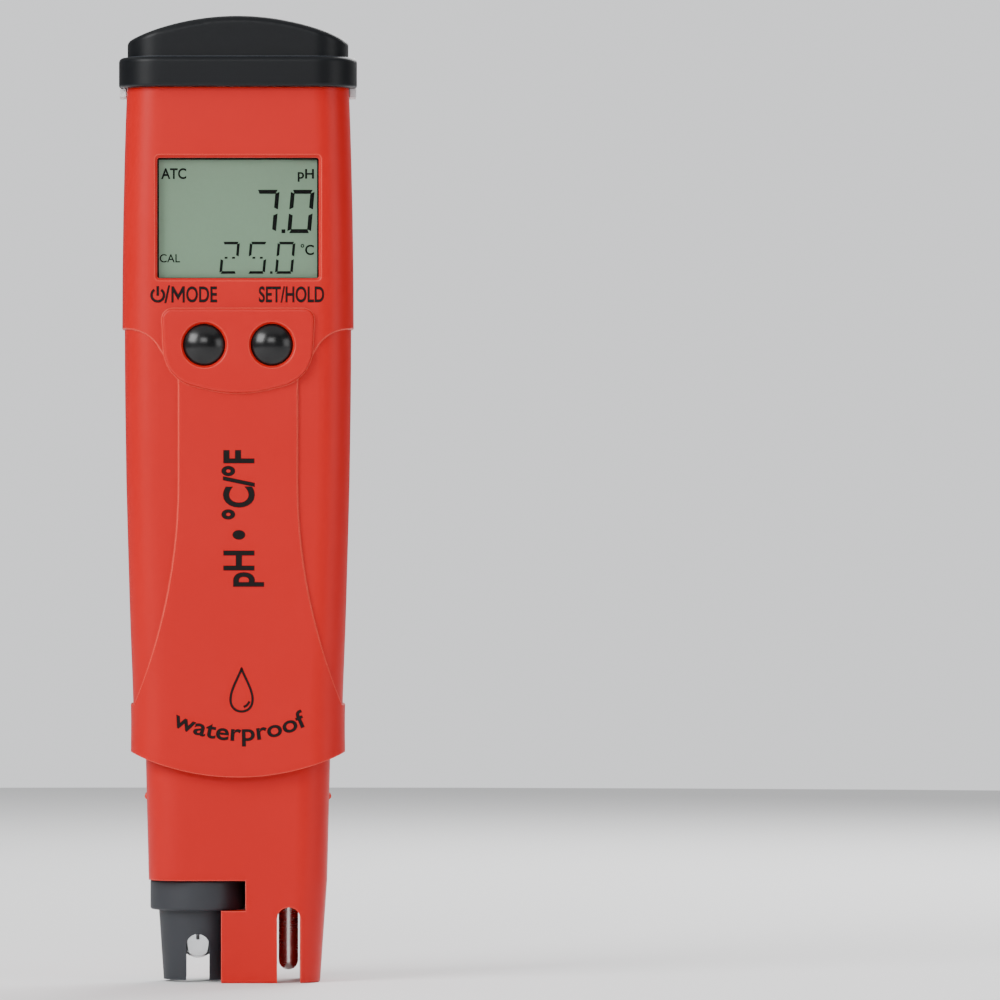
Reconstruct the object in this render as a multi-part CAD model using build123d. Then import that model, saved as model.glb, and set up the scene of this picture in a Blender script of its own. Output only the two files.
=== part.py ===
from build123d import *
import math
import os

# A pocket pH meter: a waterproof red tester with a display, two keys, a screwed battery cap on
# top, and a replaceable glass electrode beside a steel temperature probe at the lower end.
# It stands on its tip. +Z runs up to the cap, -Y is the front with the display and keys, +X is
# the front's right. The origin is the bottom centre of the whole meter. Millimetres.

# ---- overall stack of heights, from the tip up
PROBE_REACH = 39.0        # tip up to the sides of the body's skirt
SKIRT_HEIGHT = 7.0        # plain band at the foot of the body
GRIP_HEIGHT = 64.4        # hollowed grips between the skirt and the head
HEAD_HEIGHT = 40.6        # display end of the body
RIM_HEIGHT = 5.1          # rim of the battery cap
DOME_HEIGHT = 6.9         # crown of the battery cap above its rim

# ---- overall widths and depths
HEAD_WIDTH = 39.1         # widest place, at the top of the grips
SKIRT_WIDTH = 36.2
SKIRT_DEPTH = 21.4
NECK_SIDE_ROOM = 5.35     # from the battery tubes out to the side of the neck
NECK_DEPTH_ROOM = 9.4     # neck's depth beyond the battery tubes
HEAD_SET_IN = 0.4         # head's depth under the neck's
CORNER_RADIUS = 6.0       # vertical corners of the body
RIM_OVERHANG_X = 1.35     # how far the rim stands out past the neck
RIM_OVERHANG_Y = 1.5

# ---- walls, clearances and steps
WALL = 1.8                # body shell
RUNNING = 0.05            # radial clearance of a running fit
SEAT_GAP = 0.05           # between seats that part when something moves
FIT_GAP = 0.1             # loose fit of a fixed piece
GRIP_STEP = 0.42          # how far the side grips are hollowed
PANEL_HALF_WIDTH = 10.0   # raised centre panel between the grips
SKIRT_SAG = 4.2           # how far the skirt's arched edge hangs below its sides
FINE_EDGE = 0.4           # soft moulded edges
OVERCUT = 1.0             # how far a cut runs past the face it opens
HAIR = 0.01               # overlap of pieces that are joined
BIG = 200.0               # longer than the whole meter

# ---- the shoulder and arc of each side grip
SHOULDER_IN = 3.0         # shoulder's flat start, in from the side
SHOULDER_DROP = 0.5
SHOULDER_BEND_OUT = 1.2   # first bend, outside the key pad
SHOULDER_BEND_DROP = 2.1
SHOULDER_TURN_IN = 0.5    # second bend, just inside the key pad
SHOULDER_TURN_DROP = 4.6
CREASE_START = 1.0        # crease starts this far above the pad's foot
CREASE_SHARE = 0.6        # crease's foot, as a share of the grip's height
ARC_END_IN = 0.6          # arc's end, in from the side of the skirt
ARC_END_RISE = 1.0        # and above the skirt

# ---- key pad and keys
PAD_HALF_WIDTH = 12.9
PAD_HEIGHT = 14.3
PAD_PROUD = 0.7
PAD_TAPER = 0.6
PAD_BOW = 2.5             # rise of the pad's bowed foot at its sides
PAD_CORNER = 1.8
PAD_SIDE_ROUND = 6.5
PAD_FOOT_ROUND = 22.0
PAD_ABOVE_GRIP = 3.3      # pad's top edge above the top of the grips
KEY_OFFSET = 5.7          # each key from the centre line
KEY_BELOW_PAD_TOP = 6.1
KEY_RADIUS = 3.45
KEY_CROWN = 1.0           # key's dome above the pad's face
KEY_DOME_SAG = 1.4        # height of the dome itself
KEY_FLANGE_RADIUS = 4.3
KEY_FLANGE = 0.6
KEY_STEM_RADIUS = 1.5
KEY_TRAVEL = 0.5
KEY_DISH = 0.4            # dished edge around a key's hole
SEAL_SHEET = 0.5          # keypad seal
SEAL_HALF_WIDTH = 11.0
SEAL_HEIGHT = 11.0
PLUNGER_RADIUS = 1.2
PLUNGER = 0.3
SWITCH_SIDE = 4.5

# ---- display
WINDOW_WIDTH = 27.2
WINDOW_HEIGHT = 20.3
WINDOW_ABOVE_GRIP = 8.4   # lower edge of the window above the top of the grips
WINDOW_RECESS = 0.9
WINDOW_LEDGE = 1.0        # lens hidden behind each side of the opening
WINDOW_BEVEL = 0.45
LENS_THICKNESS = 1.0
LCD_SIDE_LAP = 0.6        # display hidden behind each side of the window
LCD_END_LAP = 0.85        # and behind its upper and lower edges
LCD_THICKNESS = 1.6
HOLDER_WALL = 0.8
HOLDER_SETBACK = 1.2      # holder's rim behind the face of the display
ZEBRA_HEIGHT = 1.6
ZEBRA_DEPTH = 1.54        # from the display back to the board
ZEBRA_END = 1.2           # strip's ends inside the display's sides

# ---- circuit board
BOARD_THICKNESS = 1.4
BOARD_SIDE_GAP = 0.7      # board's edges clear of the inner walls
BOARD_FOOT_GAP = 9.5      # board's lower edge above the top of the probe housing
RAIL_DEPTH = 1.2
RAIL_LAP = 0.8            # how far a rail laps the board's edge
SWITCH_HEIGHT = 0.9
CHIP_SIDE = 10.0
CHIP_HEIGHT = 1.6
AMPLIFIER = (5.0, 4.0, -7.0, 14.0)  # width, height, place across, place above the board's foot
CRYSTAL = (6.0, 2.4, 7.5, 24.0)
CAPACITOR = (1.2, 2.0, -8.0, 34.0)
CAPACITOR_COUNT = 5
CAPACITOR_PITCH = 4.0

# ---- battery cap and its screws
GASKET_HEIGHT = 0.8
GASKET_WIDTH = 1.7
EAR_WIDTH = 8.0
EAR_DROP = 1.4
EAR_INSET = 0.1           # ear's outer face behind the rim's side
EAR_GAP = 0.1             # ear clear of the body's side
SPIGOT_BOSS_GAP = 0.4     # spigot clear of the screw bosses
SPIGOT_WALL_GAP = 0.7     # and of the body's front and back walls
SPIGOT_HEIGHT = 1.5
SPIGOT_WALL = 1.4
DOME_INSET = 1.45         # crown set back from the rim
DOME_SHOULDER = 2.7       # upright side of the crown
CAP_ROUND = 1.1
RIM_ROUND = 0.8
SCREW_SIDE_IN = 4.15      # screws in from the sides of the neck
SCREW_FACE_IN = 4.1       # and from its front and back
SCREW_RADIUS = 1.1
SCREW_HEAD_RADIUS = 1.9
SCREW_HEAD = 1.5
SCREW_GRIP = 8.5          # shank length in the boss
PILOT_PAST_SCREW = 0.5    # boss's hole below the screw's end
CROSS_LENGTH = 2.28       # slots in a screw's head
CROSS_WIDTH = 0.55
COUNTERBORE_RADIUS = 2.2
CAP_FLOOR = 1.8           # cap left under a screw head
BOSS_RADIUS = 2.2
BOSS_HEIGHT = 10.0

# ---- battery
CELL_RADIUS = 5.8
CELL_HEIGHT = 5.4
CELL_LIP = 0.8
CELLS_PER_STACK = 2
STACK_GAP = 0.25          # half the wall that the two tubes share
TUBE_BOARD_GAP = 0.2      # tubes clear of the board's back
TUBE_WALL = 0.9
CARRIER_FLOOR = 0.8
FLANGE = 1.0
SPRING_THICKNESS = 0.3
SPRING_HEIGHT = 0.6
BUS_THICKNESS = 0.3
BUS_WIDTH = 7.0
CELL_STANDS_OUT = 1.2     # cells above the carrier's flange
LEDGE_HEIGHT = 2.0
LEDGE_REACH = 1.2
LEDGE_HALF = 3.0
TAIL_HOLE = 0.8           # hole in the carrier's floor for a spring's tail

# ---- probe housing
HOUSING_FOOT_WIDTH = 27.8
HOUSING_WAIST_WIDTH = 30.2
HOUSING_TOP_WIDTH = 31.4
HOUSING_FOOT_DEPTH = 16.4
HOUSING_WAIST_DEPTH = 17.4
HOUSING_CORNER = 5.6
HOUSING_WALL = 1.6
WAIST = 17.3              # height where the electrode's notch ends
NOTCH_STEP = 12.2         # height where the tongue starts
NOTCH_EDGE = 1.26         # notch's right side, from the centre line
TONGUE_EDGE = -2.85
HOUSING_FLOOR = 2.2
PLUG_HEIGHT = 8.0
PLUG_LAP = 3.0            # plug starts above the skirt's foot
NIB_HEIGHT = 31.4
NIB_PROUD = 0.35
NIB_LENGTH = 6.0
NIB_RADIUS = 0.6
SEAL_CORD = 0.9           # square-cut housing ring
SEAL_GROOVE_HEIGHT = 1.8
SEAL_ABOVE_PLUG_FOOT = 1.5
POST_WIDTH = 1.6          # posts that hold up the board

# ---- electrode
ELECTRODE_X = -6.8
ELECTRODE_STAND = 0.4     # electrode's lower rim above the tip
COLLAR_RADIUS = 8.05
CHANNEL_GAP = 0.25        # channel around the collar
BARREL_RADIUS = 6.7
GUARD_RADIUS = 6.6
GUARD_TIP_RADIUS = 5.8
GUARD_BORE_RADIUS = 4.9
GUARD_ROOF = 11.0
SLOT_WIDTH = 3.9
SLOT_TOP = 8.2
BARREL_TOP = 35.5
GROOVE_WALL = 0.3         # wall left between a ring groove and the gel
GEL_FLOOR = 14.0
GEL_TOP = 33.0
BULB_RADIUS = 3.1
BULB_HEIGHT = 7.0
STEM_RADIUS = 1.9
GLASS_WALL = 0.5
BULB_WALL = 0.3
STEM_TOP = 30.0
WIRE_RADIUS = 0.3
REFERENCE_OFFSET = 3.6
REFERENCE_FOOT = 2.0      # reference wire's end above the gel's floor
JUNCTION_RADIUS = 0.8
JUNCTION_STANDS_OUT = 0.6 # wick's ends, below the roof of the guard and in the gel
JUNCTION_IN_GEL = 1.0
RING_GROOVE = 1.8
RING_DEPTH = 1.0
RING_HEIGHTS = (20.5, 25.5)
CONTACT_HEIGHT = 0.3
CONTACT_CENTRE = 1.5
CONTACT_BAND = 0.9
CONTACT_GAP = 0.2
PIN_RADIUS = 0.5
PIN_STANDS_OUT = 0.4
TUBE_TOP = 38.5
SOCKET_WALL = 1.5
SOCKET_HEIGHT = 1.9
SOCKET_FLANGE = 0.8
SOCKET_LAP = 0.3

# ---- temperature probe
ROD_X = 8.55
ROD_RADIUS = 1.65
ROD_BORE_RADIUS = 1.3
ROD_TIP = 1.9
ROD_TOP = 26.0
ROD_SLOT_WIDTH = 3.9
ROD_SLOT_TOP = 12.8
ROD_BOSS_RADIUS = 3.2
ROD_BOSS_TOP = 24.0
BEAD_HEIGHT = 4.4
BEAD_RADIUS = 0.8
LEAD_RADIUS = 0.2
LEAD_OFFSET = 0.45
GROMMET_HEIGHT = 1.5
RIBBON_WIDTH = 8.0
RIBBON_THICKNESS = 0.3
RIBBON_BEND_BELOW = 1.0   # ribbon reaches the board's back this far below its foot
RIBBON_LAP = 4.0          # and is soldered on it this far up

# ---- heights worked out from the stack
SKIRT_TOP = PROBE_REACH + SKIRT_HEIGHT
GRIP_TOP = SKIRT_TOP + GRIP_HEIGHT
BODY_TOP = GRIP_TOP + HEAD_HEIGHT
RIM_TOP = BODY_TOP + RIM_HEIGHT
CROWN_TOP = RIM_TOP + DOME_HEIGHT
SKIRT_LOW = PROBE_REACH - SKIRT_SAG
PAD_TOP = GRIP_TOP + PAD_ABOVE_GRIP
KEY_Z = PAD_TOP - KEY_BELOW_PAD_TOP
WINDOW_LOW = GRIP_TOP + WINDOW_ABOVE_GRIP
WINDOW_Z = WINDOW_LOW + WINDOW_HEIGHT / 2
LCD_WIDTH = WINDOW_WIDTH + 2 * LCD_SIDE_LAP
LCD_HEIGHT = WINDOW_HEIGHT + 2 * LCD_END_LAP
ZEBRA_LENGTH = LCD_WIDTH - 2 * ZEBRA_END
PLUG_LOW = PROBE_REACH + PLUG_LAP
PLUG_TOP = PLUG_LOW + PLUG_HEIGHT
BOARD_LOW = PLUG_TOP + BOARD_FOOT_GAP
BOARD_TOP = WINDOW_Z + LCD_HEIGHT / 2 + HOLDER_WALL
RAIL_TOP = WINDOW_Z - LCD_HEIGHT / 2 - 2 * HOLDER_WALL
CELL_TOP = BODY_TOP - SPIGOT_HEIGHT - SEAT_GAP
STACK_HEIGHT = CELLS_PER_STACK * CELL_HEIGHT
CELL_FOOT = CELL_TOP - STACK_HEIGHT
CARRIER_TOP = CELL_TOP - CELL_STANDS_OUT
CARRIER_LOW = CELL_FOOT - SPRING_HEIGHT - CARRIER_FLOOR

# ---- widths and depths worked out from what the body holds
TUBE_RADIUS = CELL_RADIUS + FIT_GAP + TUBE_WALL
STACK_OFFSET = TUBE_RADIUS - TUBE_WALL / 2 + STACK_GAP
NECK_WIDTH = 2 * (STACK_OFFSET + TUBE_RADIUS + NECK_SIDE_ROOM)
NECK_DEPTH = 2 * TUBE_RADIUS + NECK_DEPTH_ROOM
HEAD_DEPTH = NECK_DEPTH - HEAD_SET_IN
BOARD_HALF_WIDTH = min(SKIRT_WIDTH, NECK_WIDTH) / 2 - WALL - BOARD_SIDE_GAP
BUS_HALF = STACK_OFFSET + BUS_WIDTH / 4
SCREW_X = NECK_WIDTH / 2 - SCREW_SIDE_IN
SCREW_Y = NECK_DEPTH / 2 - SCREW_FACE_IN
SPIGOT_WIDTH = 2 * (SCREW_X - BOSS_RADIUS - SPIGOT_BOSS_GAP)
SPIGOT_DEPTH = NECK_DEPTH - 2 * (WALL + SPIGOT_WALL_GAP)
BORE_RADIUS = BARREL_RADIUS + RUNNING
GEL_RADIUS = BARREL_RADIUS - RING_DEPTH - GROOVE_WALL
CAP_FOOT = BODY_TOP + SEAT_GAP
SEAL_LOW = PLUG_LOW + SEAL_ABOVE_PLUG_FOOT
SEAL_HIGH = SEAL_LOW + SEAL_GROOVE_HEIGHT


def share_up(height, low, high):
    """How far a height is from low to high, from 0 to 1."""
    return min(max((height - low) / (high - low), 0.0), 1.0)


def outline(height, skirt, head, neck):
    """A width or depth of the body: it swells up the grips and draws in again to the neck."""
    swell = math.sin(share_up(height, SKIRT_TOP, GRIP_TOP) * math.pi / 2)
    draw_in = share_up(height, GRIP_TOP, BODY_TOP) ** 2
    return skirt + (head - skirt) * swell + (neck - head) * draw_in


def body_width(height):
    return outline(height, SKIRT_WIDTH, HEAD_WIDTH, NECK_WIDTH)


def body_depth(height):
    return outline(height, SKIRT_DEPTH, HEAD_DEPTH, NECK_DEPTH)


# ---- depths worked out from the body's own section
PIN_TOP = TUBE_TOP + SOCKET_FLANGE + PIN_STANDS_OUT
WINDOW_FACE = body_depth(WINDOW_Z) / 2
LENS_FACE = WINDOW_FACE - WINDOW_RECESS
LENS_BACK = LENS_FACE - LENS_THICKNESS
LCD_FACE = LENS_BACK - FIT_GAP
LCD_BACK = LCD_FACE - LCD_THICKNESS
BOARD_FACE = LCD_BACK - ZEBRA_DEPTH
BOARD_BACK = BOARD_FACE - BOARD_THICKNESS
STACK_BACK = TUBE_RADIUS + TUBE_BOARD_GAP - BOARD_BACK
PAD_FACE = body_depth(KEY_Z) / 2 + PAD_PROUD
WALL_INSIDE = body_depth(KEY_Z) / 2 - WALL
KEY_FRONT = PAD_FACE + KEY_CROWN
SEAL_FACE = WALL_INSIDE - FIT_GAP
FLANGE_FACE = SEAL_FACE - SEAL_SHEET - FIT_GAP
STEM_BACK = BOARD_FACE + SWITCH_HEIGHT + PLUNGER + KEY_TRAVEL + FIT_GAP


def block(x_low, x_high, y_low, y_high, z_low, z_high):
    """A plain box between two corners."""
    size = Box(x_high - x_low, y_high - y_low, z_high - z_low)
    return Pos((x_low + x_high) / 2, (y_low + y_high) / 2, (z_low + z_high) / 2) * size


def disc(x, y, radius, z_low, z_high):
    """An upright cylinder."""
    return Pos(x, y, (z_low + z_high) / 2) * Cylinder(radius, z_high - z_low)


def key_disc(x, radius, front, back):
    """A cylinder along Y at a key's height, between two depths in front of the middle."""
    centre = Pos(x, -(front + back) / 2, KEY_Z)
    return centre * Rot(90, 0, 0) * Cylinder(radius, front - back)


def upright_slab(width, depth, radius, z_low, z_high):
    """A rounded rectangle standing between two heights."""
    return extrude(Pos(0, 0, z_low) * RectangleRounded(width, depth, radius), z_high - z_low)


def front_sheet(face, front, back):
    """A face drawn in X and Z, made solid between two depths in front of the middle."""
    return Pos(0, -back, 0) * extrude(Rot(90, 0, 0) * face, front - back)


def body_form(inset, low, high):
    """The body's outer form, drawn in by an inset all round, between two heights."""
    steps = [low, (low + SKIRT_TOP) / 2]
    for start, end, count in ((SKIRT_TOP, GRIP_TOP, 6), (GRIP_TOP, BODY_TOP, 4)):
        steps += [start + (end - start) * i / count for i in range(count)]
    steps = [height for height in steps if height < high] + [high]
    sections = []
    for height in steps:
        shape = RectangleRounded(
            body_width(height) - 2 * inset,
            body_depth(height) - 2 * inset,
            CORNER_RADIUS - inset,
        )
        sections.append(Pos(0, 0, height) * shape)
    return loft(sections)


def screw_places():
    """The four corners where the cap is screwed down."""
    return [(sx * SCREW_X, sy * SCREW_Y) for sx in (-1, 1) for sy in (-1, 1)]


def grip_region():
    """The right-hand grip seen from the front: a shoulder curve, the crease, and a long arc."""
    outside = HEAD_WIDTH
    shoulder = PAD_TOP - PAD_HEIGHT + CREASE_START
    crease_foot = SKIRT_TOP + GRIP_HEIGHT * CREASE_SHARE
    arc_end_x = SKIRT_WIDTH / 2 - ARC_END_IN
    arc_end_z = SKIRT_TOP + ARC_END_RISE
    rise = crease_foot - arc_end_z
    run = arc_end_x - PANEL_HALF_WIDTH
    radius = (rise * rise + run * run) / (2 * run)
    half_turn = math.asin(rise / radius) / 2
    mid_x = PANEL_HALF_WIDTH + radius * (1 - math.cos(half_turn))
    mid_z = crease_foot - radius * math.sin(half_turn)
    top = [
        (HEAD_WIDTH / 2 + OVERCUT, GRIP_TOP),
        (HEAD_WIDTH / 2 - SHOULDER_IN, GRIP_TOP - SHOULDER_DROP),
        (PAD_HALF_WIDTH + SHOULDER_BEND_OUT, GRIP_TOP - SHOULDER_BEND_DROP),
        (PAD_HALF_WIDTH - SHOULDER_TURN_IN, GRIP_TOP - SHOULDER_TURN_DROP),
        (PANEL_HALF_WIDTH, shoulder),
    ]
    edges = [
        Spline(*top, tangents=[(-1, 0), (0, -1)]),
        Line((PANEL_HALF_WIDTH, shoulder), (PANEL_HALF_WIDTH, crease_foot)),
        ThreePointArc((PANEL_HALF_WIDTH, crease_foot), (mid_x, mid_z), (arc_end_x, arc_end_z)),
        Line((arc_end_x, arc_end_z), (outside, arc_end_z)),
        Line((outside, arc_end_z), (outside, GRIP_TOP)),
        Line((outside, GRIP_TOP), top[0]),
    ]
    return make_face(Wire(edges))


def pad_outline():
    """The key pad from the front: straight across the top, rounded into a bowed foot."""
    half = PAD_HALF_WIDTH
    low = PAD_TOP - PAD_HEIGHT
    points = [
        (-half, PAD_TOP),
        (half, PAD_TOP),
        (half - PAD_TAPER, low + PAD_BOW),
        (0, low - PAD_TAPER),
        (-half + PAD_TAPER, low + PAD_BOW),
    ]
    radii = [PAD_CORNER, PAD_CORNER, PAD_SIDE_ROUND, PAD_FOOT_ROUND, PAD_SIDE_ROUND]
    return make_face(FilletPolyline(*points, radius=radii, close=True))


def skirt_cutter():
    """Everything below the body's arched foot."""
    half = SKIRT_WIDTH / 2
    radius = (half * half + SKIRT_SAG * SKIRT_SAG) / (2 * SKIRT_SAG)
    round_part = Pos(0, 0, SKIRT_LOW + radius) * Rot(90, 0, 0) * Cylinder(radius, BIG)
    return block(-BIG, BIG, -BIG, BIG, SKIRT_LOW - BIG, PROBE_REACH) - round_part


def rounded_hole(x, width, top, low):
    """A slot along Y with an arched top, open at its lower end."""
    arch = top - width / 2
    upright = block(x - width / 2, x + width / 2, -BIG, BIG, low, arch)
    return upright + Pos(x, 0, arch) * Rot(90, 0, 0) * Cylinder(width / 2, 2 * BIG)


def window_opening():
    """The display opening: a bevelled mouth, and the pocket behind it that seats the lens."""
    mouth = RectangleRounded(WINDOW_WIDTH, WINDOW_HEIGHT, WINDOW_BEVEL)
    wide = RectangleRounded(
        WINDOW_WIDTH + 4 * WINDOW_BEVEL, WINDOW_HEIGHT + 4 * WINDOW_BEVEL, 2 * WINDOW_BEVEL
    )
    upright = Pos(0, 0, WINDOW_Z) * Rot(90, 0, 0)
    bevel = loft(
        [
            Pos(0, -(WINDOW_FACE - WINDOW_BEVEL), 0) * upright * mouth,
            Pos(0, -(WINDOW_FACE + WINDOW_BEVEL), 0) * upright * wide,
        ]
    )
    hole = Pos(0, -LENS_BACK + WALL, 0) * extrude(upright * mouth, WALL + LENS_THICKNESS + WALL)
    half = WINDOW_WIDTH / 2 + WINDOW_LEDGE + SEAT_GAP
    rise = WINDOW_HEIGHT / 2 + WINDOW_LEDGE + SEAT_GAP
    pocket = block(-half, half, -LENS_FACE, -LENS_BACK + WALL, WINDOW_Z - rise, WINDOW_Z + rise)
    return bevel + hole + pocket


def key_hole(x):
    """A key's bore through the pad, with a dished edge at the front."""
    bore = key_disc(x, KEY_RADIUS + FIT_GAP, PAD_FACE + OVERCUT, WALL_INSIDE - OVERCUT)
    dish = Cone(KEY_RADIUS + FIT_GAP, KEY_RADIUS + FIT_GAP + KEY_DISH, KEY_DISH)
    centre = Pos(x, -(PAD_FACE - KEY_DISH / 2), KEY_Z)
    return bore + centre * Rot(90, 0, 0) * dish


def board_rails():
    """Grooved rails down both inner sides that the board slides into."""
    rails = []
    slots = (
        (BOARD_FACE + FIT_GAP, BOARD_FACE + FIT_GAP + RAIL_DEPTH),
        (BOARD_BACK - FIT_GAP - RAIL_DEPTH, BOARD_BACK - FIT_GAP),
    )
    inner = BOARD_HALF_WIDTH - RAIL_LAP
    for back, front in slots:
        for x_low, x_high in ((inner, HEAD_WIDTH / 2), (-HEAD_WIDTH / 2, -inner)):
            rails.append(block(x_low, x_high, -front, -back, BOARD_LOW, RAIL_TOP))
    return rails


def carrier_ledges():
    """Two short ledges that hold up the flange of the battery carrier."""
    top = CARRIER_TOP - FLANGE
    inner = body_width(top) / 2 - WALL - LEDGE_REACH
    ledges = []
    for x_low, x_high in ((inner, HEAD_WIDTH / 2), (-HEAD_WIDTH / 2, -inner)):
        ledges.append(block(x_low, x_high, -LEDGE_HALF, LEDGE_HALF, top - LEDGE_HEIGHT, top))
    return ledges


def body_shell():
    """The red body: one moulded tube, open at the foot and under the cap."""
    foot = SKIRT_LOW - OVERCUT
    outer = body_form(0, foot, BODY_TOP)
    hollowed = body_form(GRIP_STEP, foot - OVERCUT, BODY_TOP + OVERCUT)
    grip = Pos(0, BIG / 2, 0) * extrude(Rot(90, 0, 0) * grip_region(), BIG)
    grips = grip + mirror(grip, Plane.YZ)
    shell = outer - (grips - hollowed)
    pad = front_sheet(pad_outline(), PAD_FACE, WALL_INSIDE + WALL / 2)
    rim = pad.faces().sort_by(Axis.Y)[0].edges()
    shell = shell + fillet(rim, FINE_EDGE)
    shell = shell - body_form(WALL, foot - OVERCUT, BODY_TOP + OVERCUT)
    shell = shell - plug_slab(0, foot - OVERCUT, SKIRT_TOP)
    middle = body_form(WALL / 2, foot, BODY_TOP)
    inner_parts = board_rails() + carrier_ledges()
    for x, y in screw_places():
        inner_parts.append(disc(x, y, BOSS_RADIUS, BODY_TOP - BOSS_HEIGHT, BODY_TOP))
    for piece in inner_parts:
        shell = shell + (piece & middle)
    pilot = SCREW_RADIUS + RUNNING
    pilot_low = BODY_TOP - SCREW_GRIP - PILOT_PAST_SCREW
    for x, y in screw_places():
        shell = shell - disc(x, y, pilot, pilot_low, BODY_TOP + OVERCUT)
    shell = shell - window_opening() - key_hole(-KEY_OFFSET) - key_hole(KEY_OFFSET)
    shell = shell - skirt_cutter()
    return shell


def housing_half_width(height):
    """Half the probe housing's width at a height."""
    if height < WAIST:
        share = share_up(height, 0, WAIST)
        return (HOUSING_FOOT_WIDTH + (HOUSING_WAIST_WIDTH - HOUSING_FOOT_WIDTH) * share) / 2
    share = share_up(height, WAIST, PLUG_LOW)
    return (HOUSING_WAIST_WIDTH + (HOUSING_TOP_WIDTH - HOUSING_WAIST_WIDTH) * share) / 2


def plug_slab(inset, z_low, z_high):
    """The body's foot opening, drawn in by an inset, between two heights."""
    return upright_slab(
        SKIRT_WIDTH - 2 * (WALL + inset),
        SKIRT_DEPTH - 2 * (WALL + inset),
        CORNER_RADIUS - WALL - inset,
        z_low,
        z_high,
    )


def housing_cavity(inset, z_low, z_high):
    """The hollow of the probe housing, drawn in by an inset, between two heights."""
    return upright_slab(
        HOUSING_WAIST_WIDTH - 2 * (HOUSING_WALL + inset),
        HOUSING_WAIST_DEPTH - 2 * (HOUSING_WALL + inset),
        HOUSING_CORNER - HOUSING_WALL - inset,
        z_low,
        z_high,
    )


def probe_housing():
    """The red lower housing: a plug in the body, and a foot notched for the electrode."""
    depths = {
        0: HOUSING_FOOT_DEPTH,
        WAIST: HOUSING_WAIST_DEPTH,
        PLUG_LOW: SKIRT_DEPTH - 2 * (WALL + FIT_GAP),
    }
    sections = []
    for height, depth in depths.items():
        shape = RectangleRounded(2 * housing_half_width(height), depth, HOUSING_CORNER)
        sections.append(Pos(0, 0, height) * shape)
    outer = loft(sections, ruled=True)
    foot_edges = outer.edges().group_by(Axis.Z)[0]
    outer = fillet(foot_edges, FINE_EDGE)
    outer = outer + plug_slab(FIT_GAP, PLUG_LOW, PLUG_TOP)
    housing = outer - housing_cavity(0, WAIST + HOUSING_FLOOR, PLUG_TOP + OVERCUT)
    housing = housing + disc(ELECTRODE_X, 0, BORE_RADIUS + SOCKET_WALL, WAIST, TUBE_TOP)
    housing = housing + disc(ROD_X, 0, ROD_BOSS_RADIUS, WAIST, ROD_BOSS_TOP)
    for side in (-1, 1):
        post_x = side * (HOUSING_WAIST_WIDTH / 2 - HOUSING_WALL + POST_WIDTH / 2)
        post = Box(POST_WIDTH, BOARD_THICKNESS, BOARD_LOW - PLUG_TOP + PLUG_LAP)
        post_z = (BOARD_LOW + PLUG_TOP - PLUG_LAP) / 2
        housing = housing + Pos(post_x, -(BOARD_FACE + BOARD_BACK) / 2, post_z) * post
        nib_x = side * (housing_half_width(NIB_HEIGHT) + NIB_PROUD - NIB_RADIUS)
        nib = Rot(90, 0, 0) * Cylinder(NIB_RADIUS, NIB_LENGTH)
        housing = housing + Pos(nib_x, 0, NIB_HEIGHT) * nib
    housing = housing - disc(ELECTRODE_X, 0, BORE_RADIUS, -OVERCUT, TUBE_TOP + OVERCUT)
    housing = housing - disc(ELECTRODE_X, 0, COLLAR_RADIUS + CHANNEL_GAP, -OVERCUT, WAIST)
    housing = housing - block(-BIG, NOTCH_EDGE, -BIG, BIG, NOTCH_STEP, WAIST)
    housing = housing - block(-BIG, TONGUE_EDGE, -BIG, BIG, -OVERCUT, NOTCH_STEP + HAIR)
    housing = housing - disc(ROD_X, 0, ROD_RADIUS, 0, ROD_BOSS_TOP + OVERCUT)
    housing = housing - rounded_hole(ROD_X, ROD_SLOT_WIDTH, ROD_SLOT_TOP, -OVERCUT)
    return housing - housing_oring()


def housing_oring():
    """The ring that seals the probe housing's plug in the body, and fills its groove."""
    return plug_slab(0, SEAL_LOW, SEAL_HIGH) - plug_slab(SEAL_CORD, SEAL_LOW, SEAL_HIGH)


def gasket_ring():
    """The flat ring between the cap's rim and the top of the body."""
    high = CAP_FOOT + GASKET_HEIGHT
    ring = upright_slab(NECK_WIDTH, NECK_DEPTH, CORNER_RADIUS, CAP_FOOT, high)
    return ring - upright_slab(
        NECK_WIDTH - 2 * GASKET_WIDTH,
        NECK_DEPTH - 2 * GASKET_WIDTH,
        CORNER_RADIUS - GASKET_WIDTH,
        CAP_FOOT,
        high,
    )


def gasket_ears():
    """The gasket's two ears: each runs out under the rim and hangs beside the body."""
    low = BODY_TOP - EAR_DROP
    outer = NECK_WIDTH / 2 + RIM_OVERHANG_X - EAR_INSET
    half = EAR_WIDTH / 2
    ear = block(NECK_WIDTH / 2, outer, -half, half, CAP_FOOT, CAP_FOOT + GASKET_HEIGHT)
    ear = ear + block(body_width(low) / 2 + EAR_GAP, outer, -half, half, low, CAP_FOOT)
    return ear + mirror(ear, Plane.YZ)


def ear_notches():
    """The notches in the cap's rim that the gasket's ears pass out through."""
    half = EAR_WIDTH / 2 + SEAT_GAP
    high = CAP_FOOT + GASKET_HEIGHT + SEAT_GAP
    notch = block(NECK_WIDTH / 2 - SEAT_GAP, BIG, -half, half, CAP_FOOT, high)
    return notch + mirror(notch, Plane.YZ)


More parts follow.
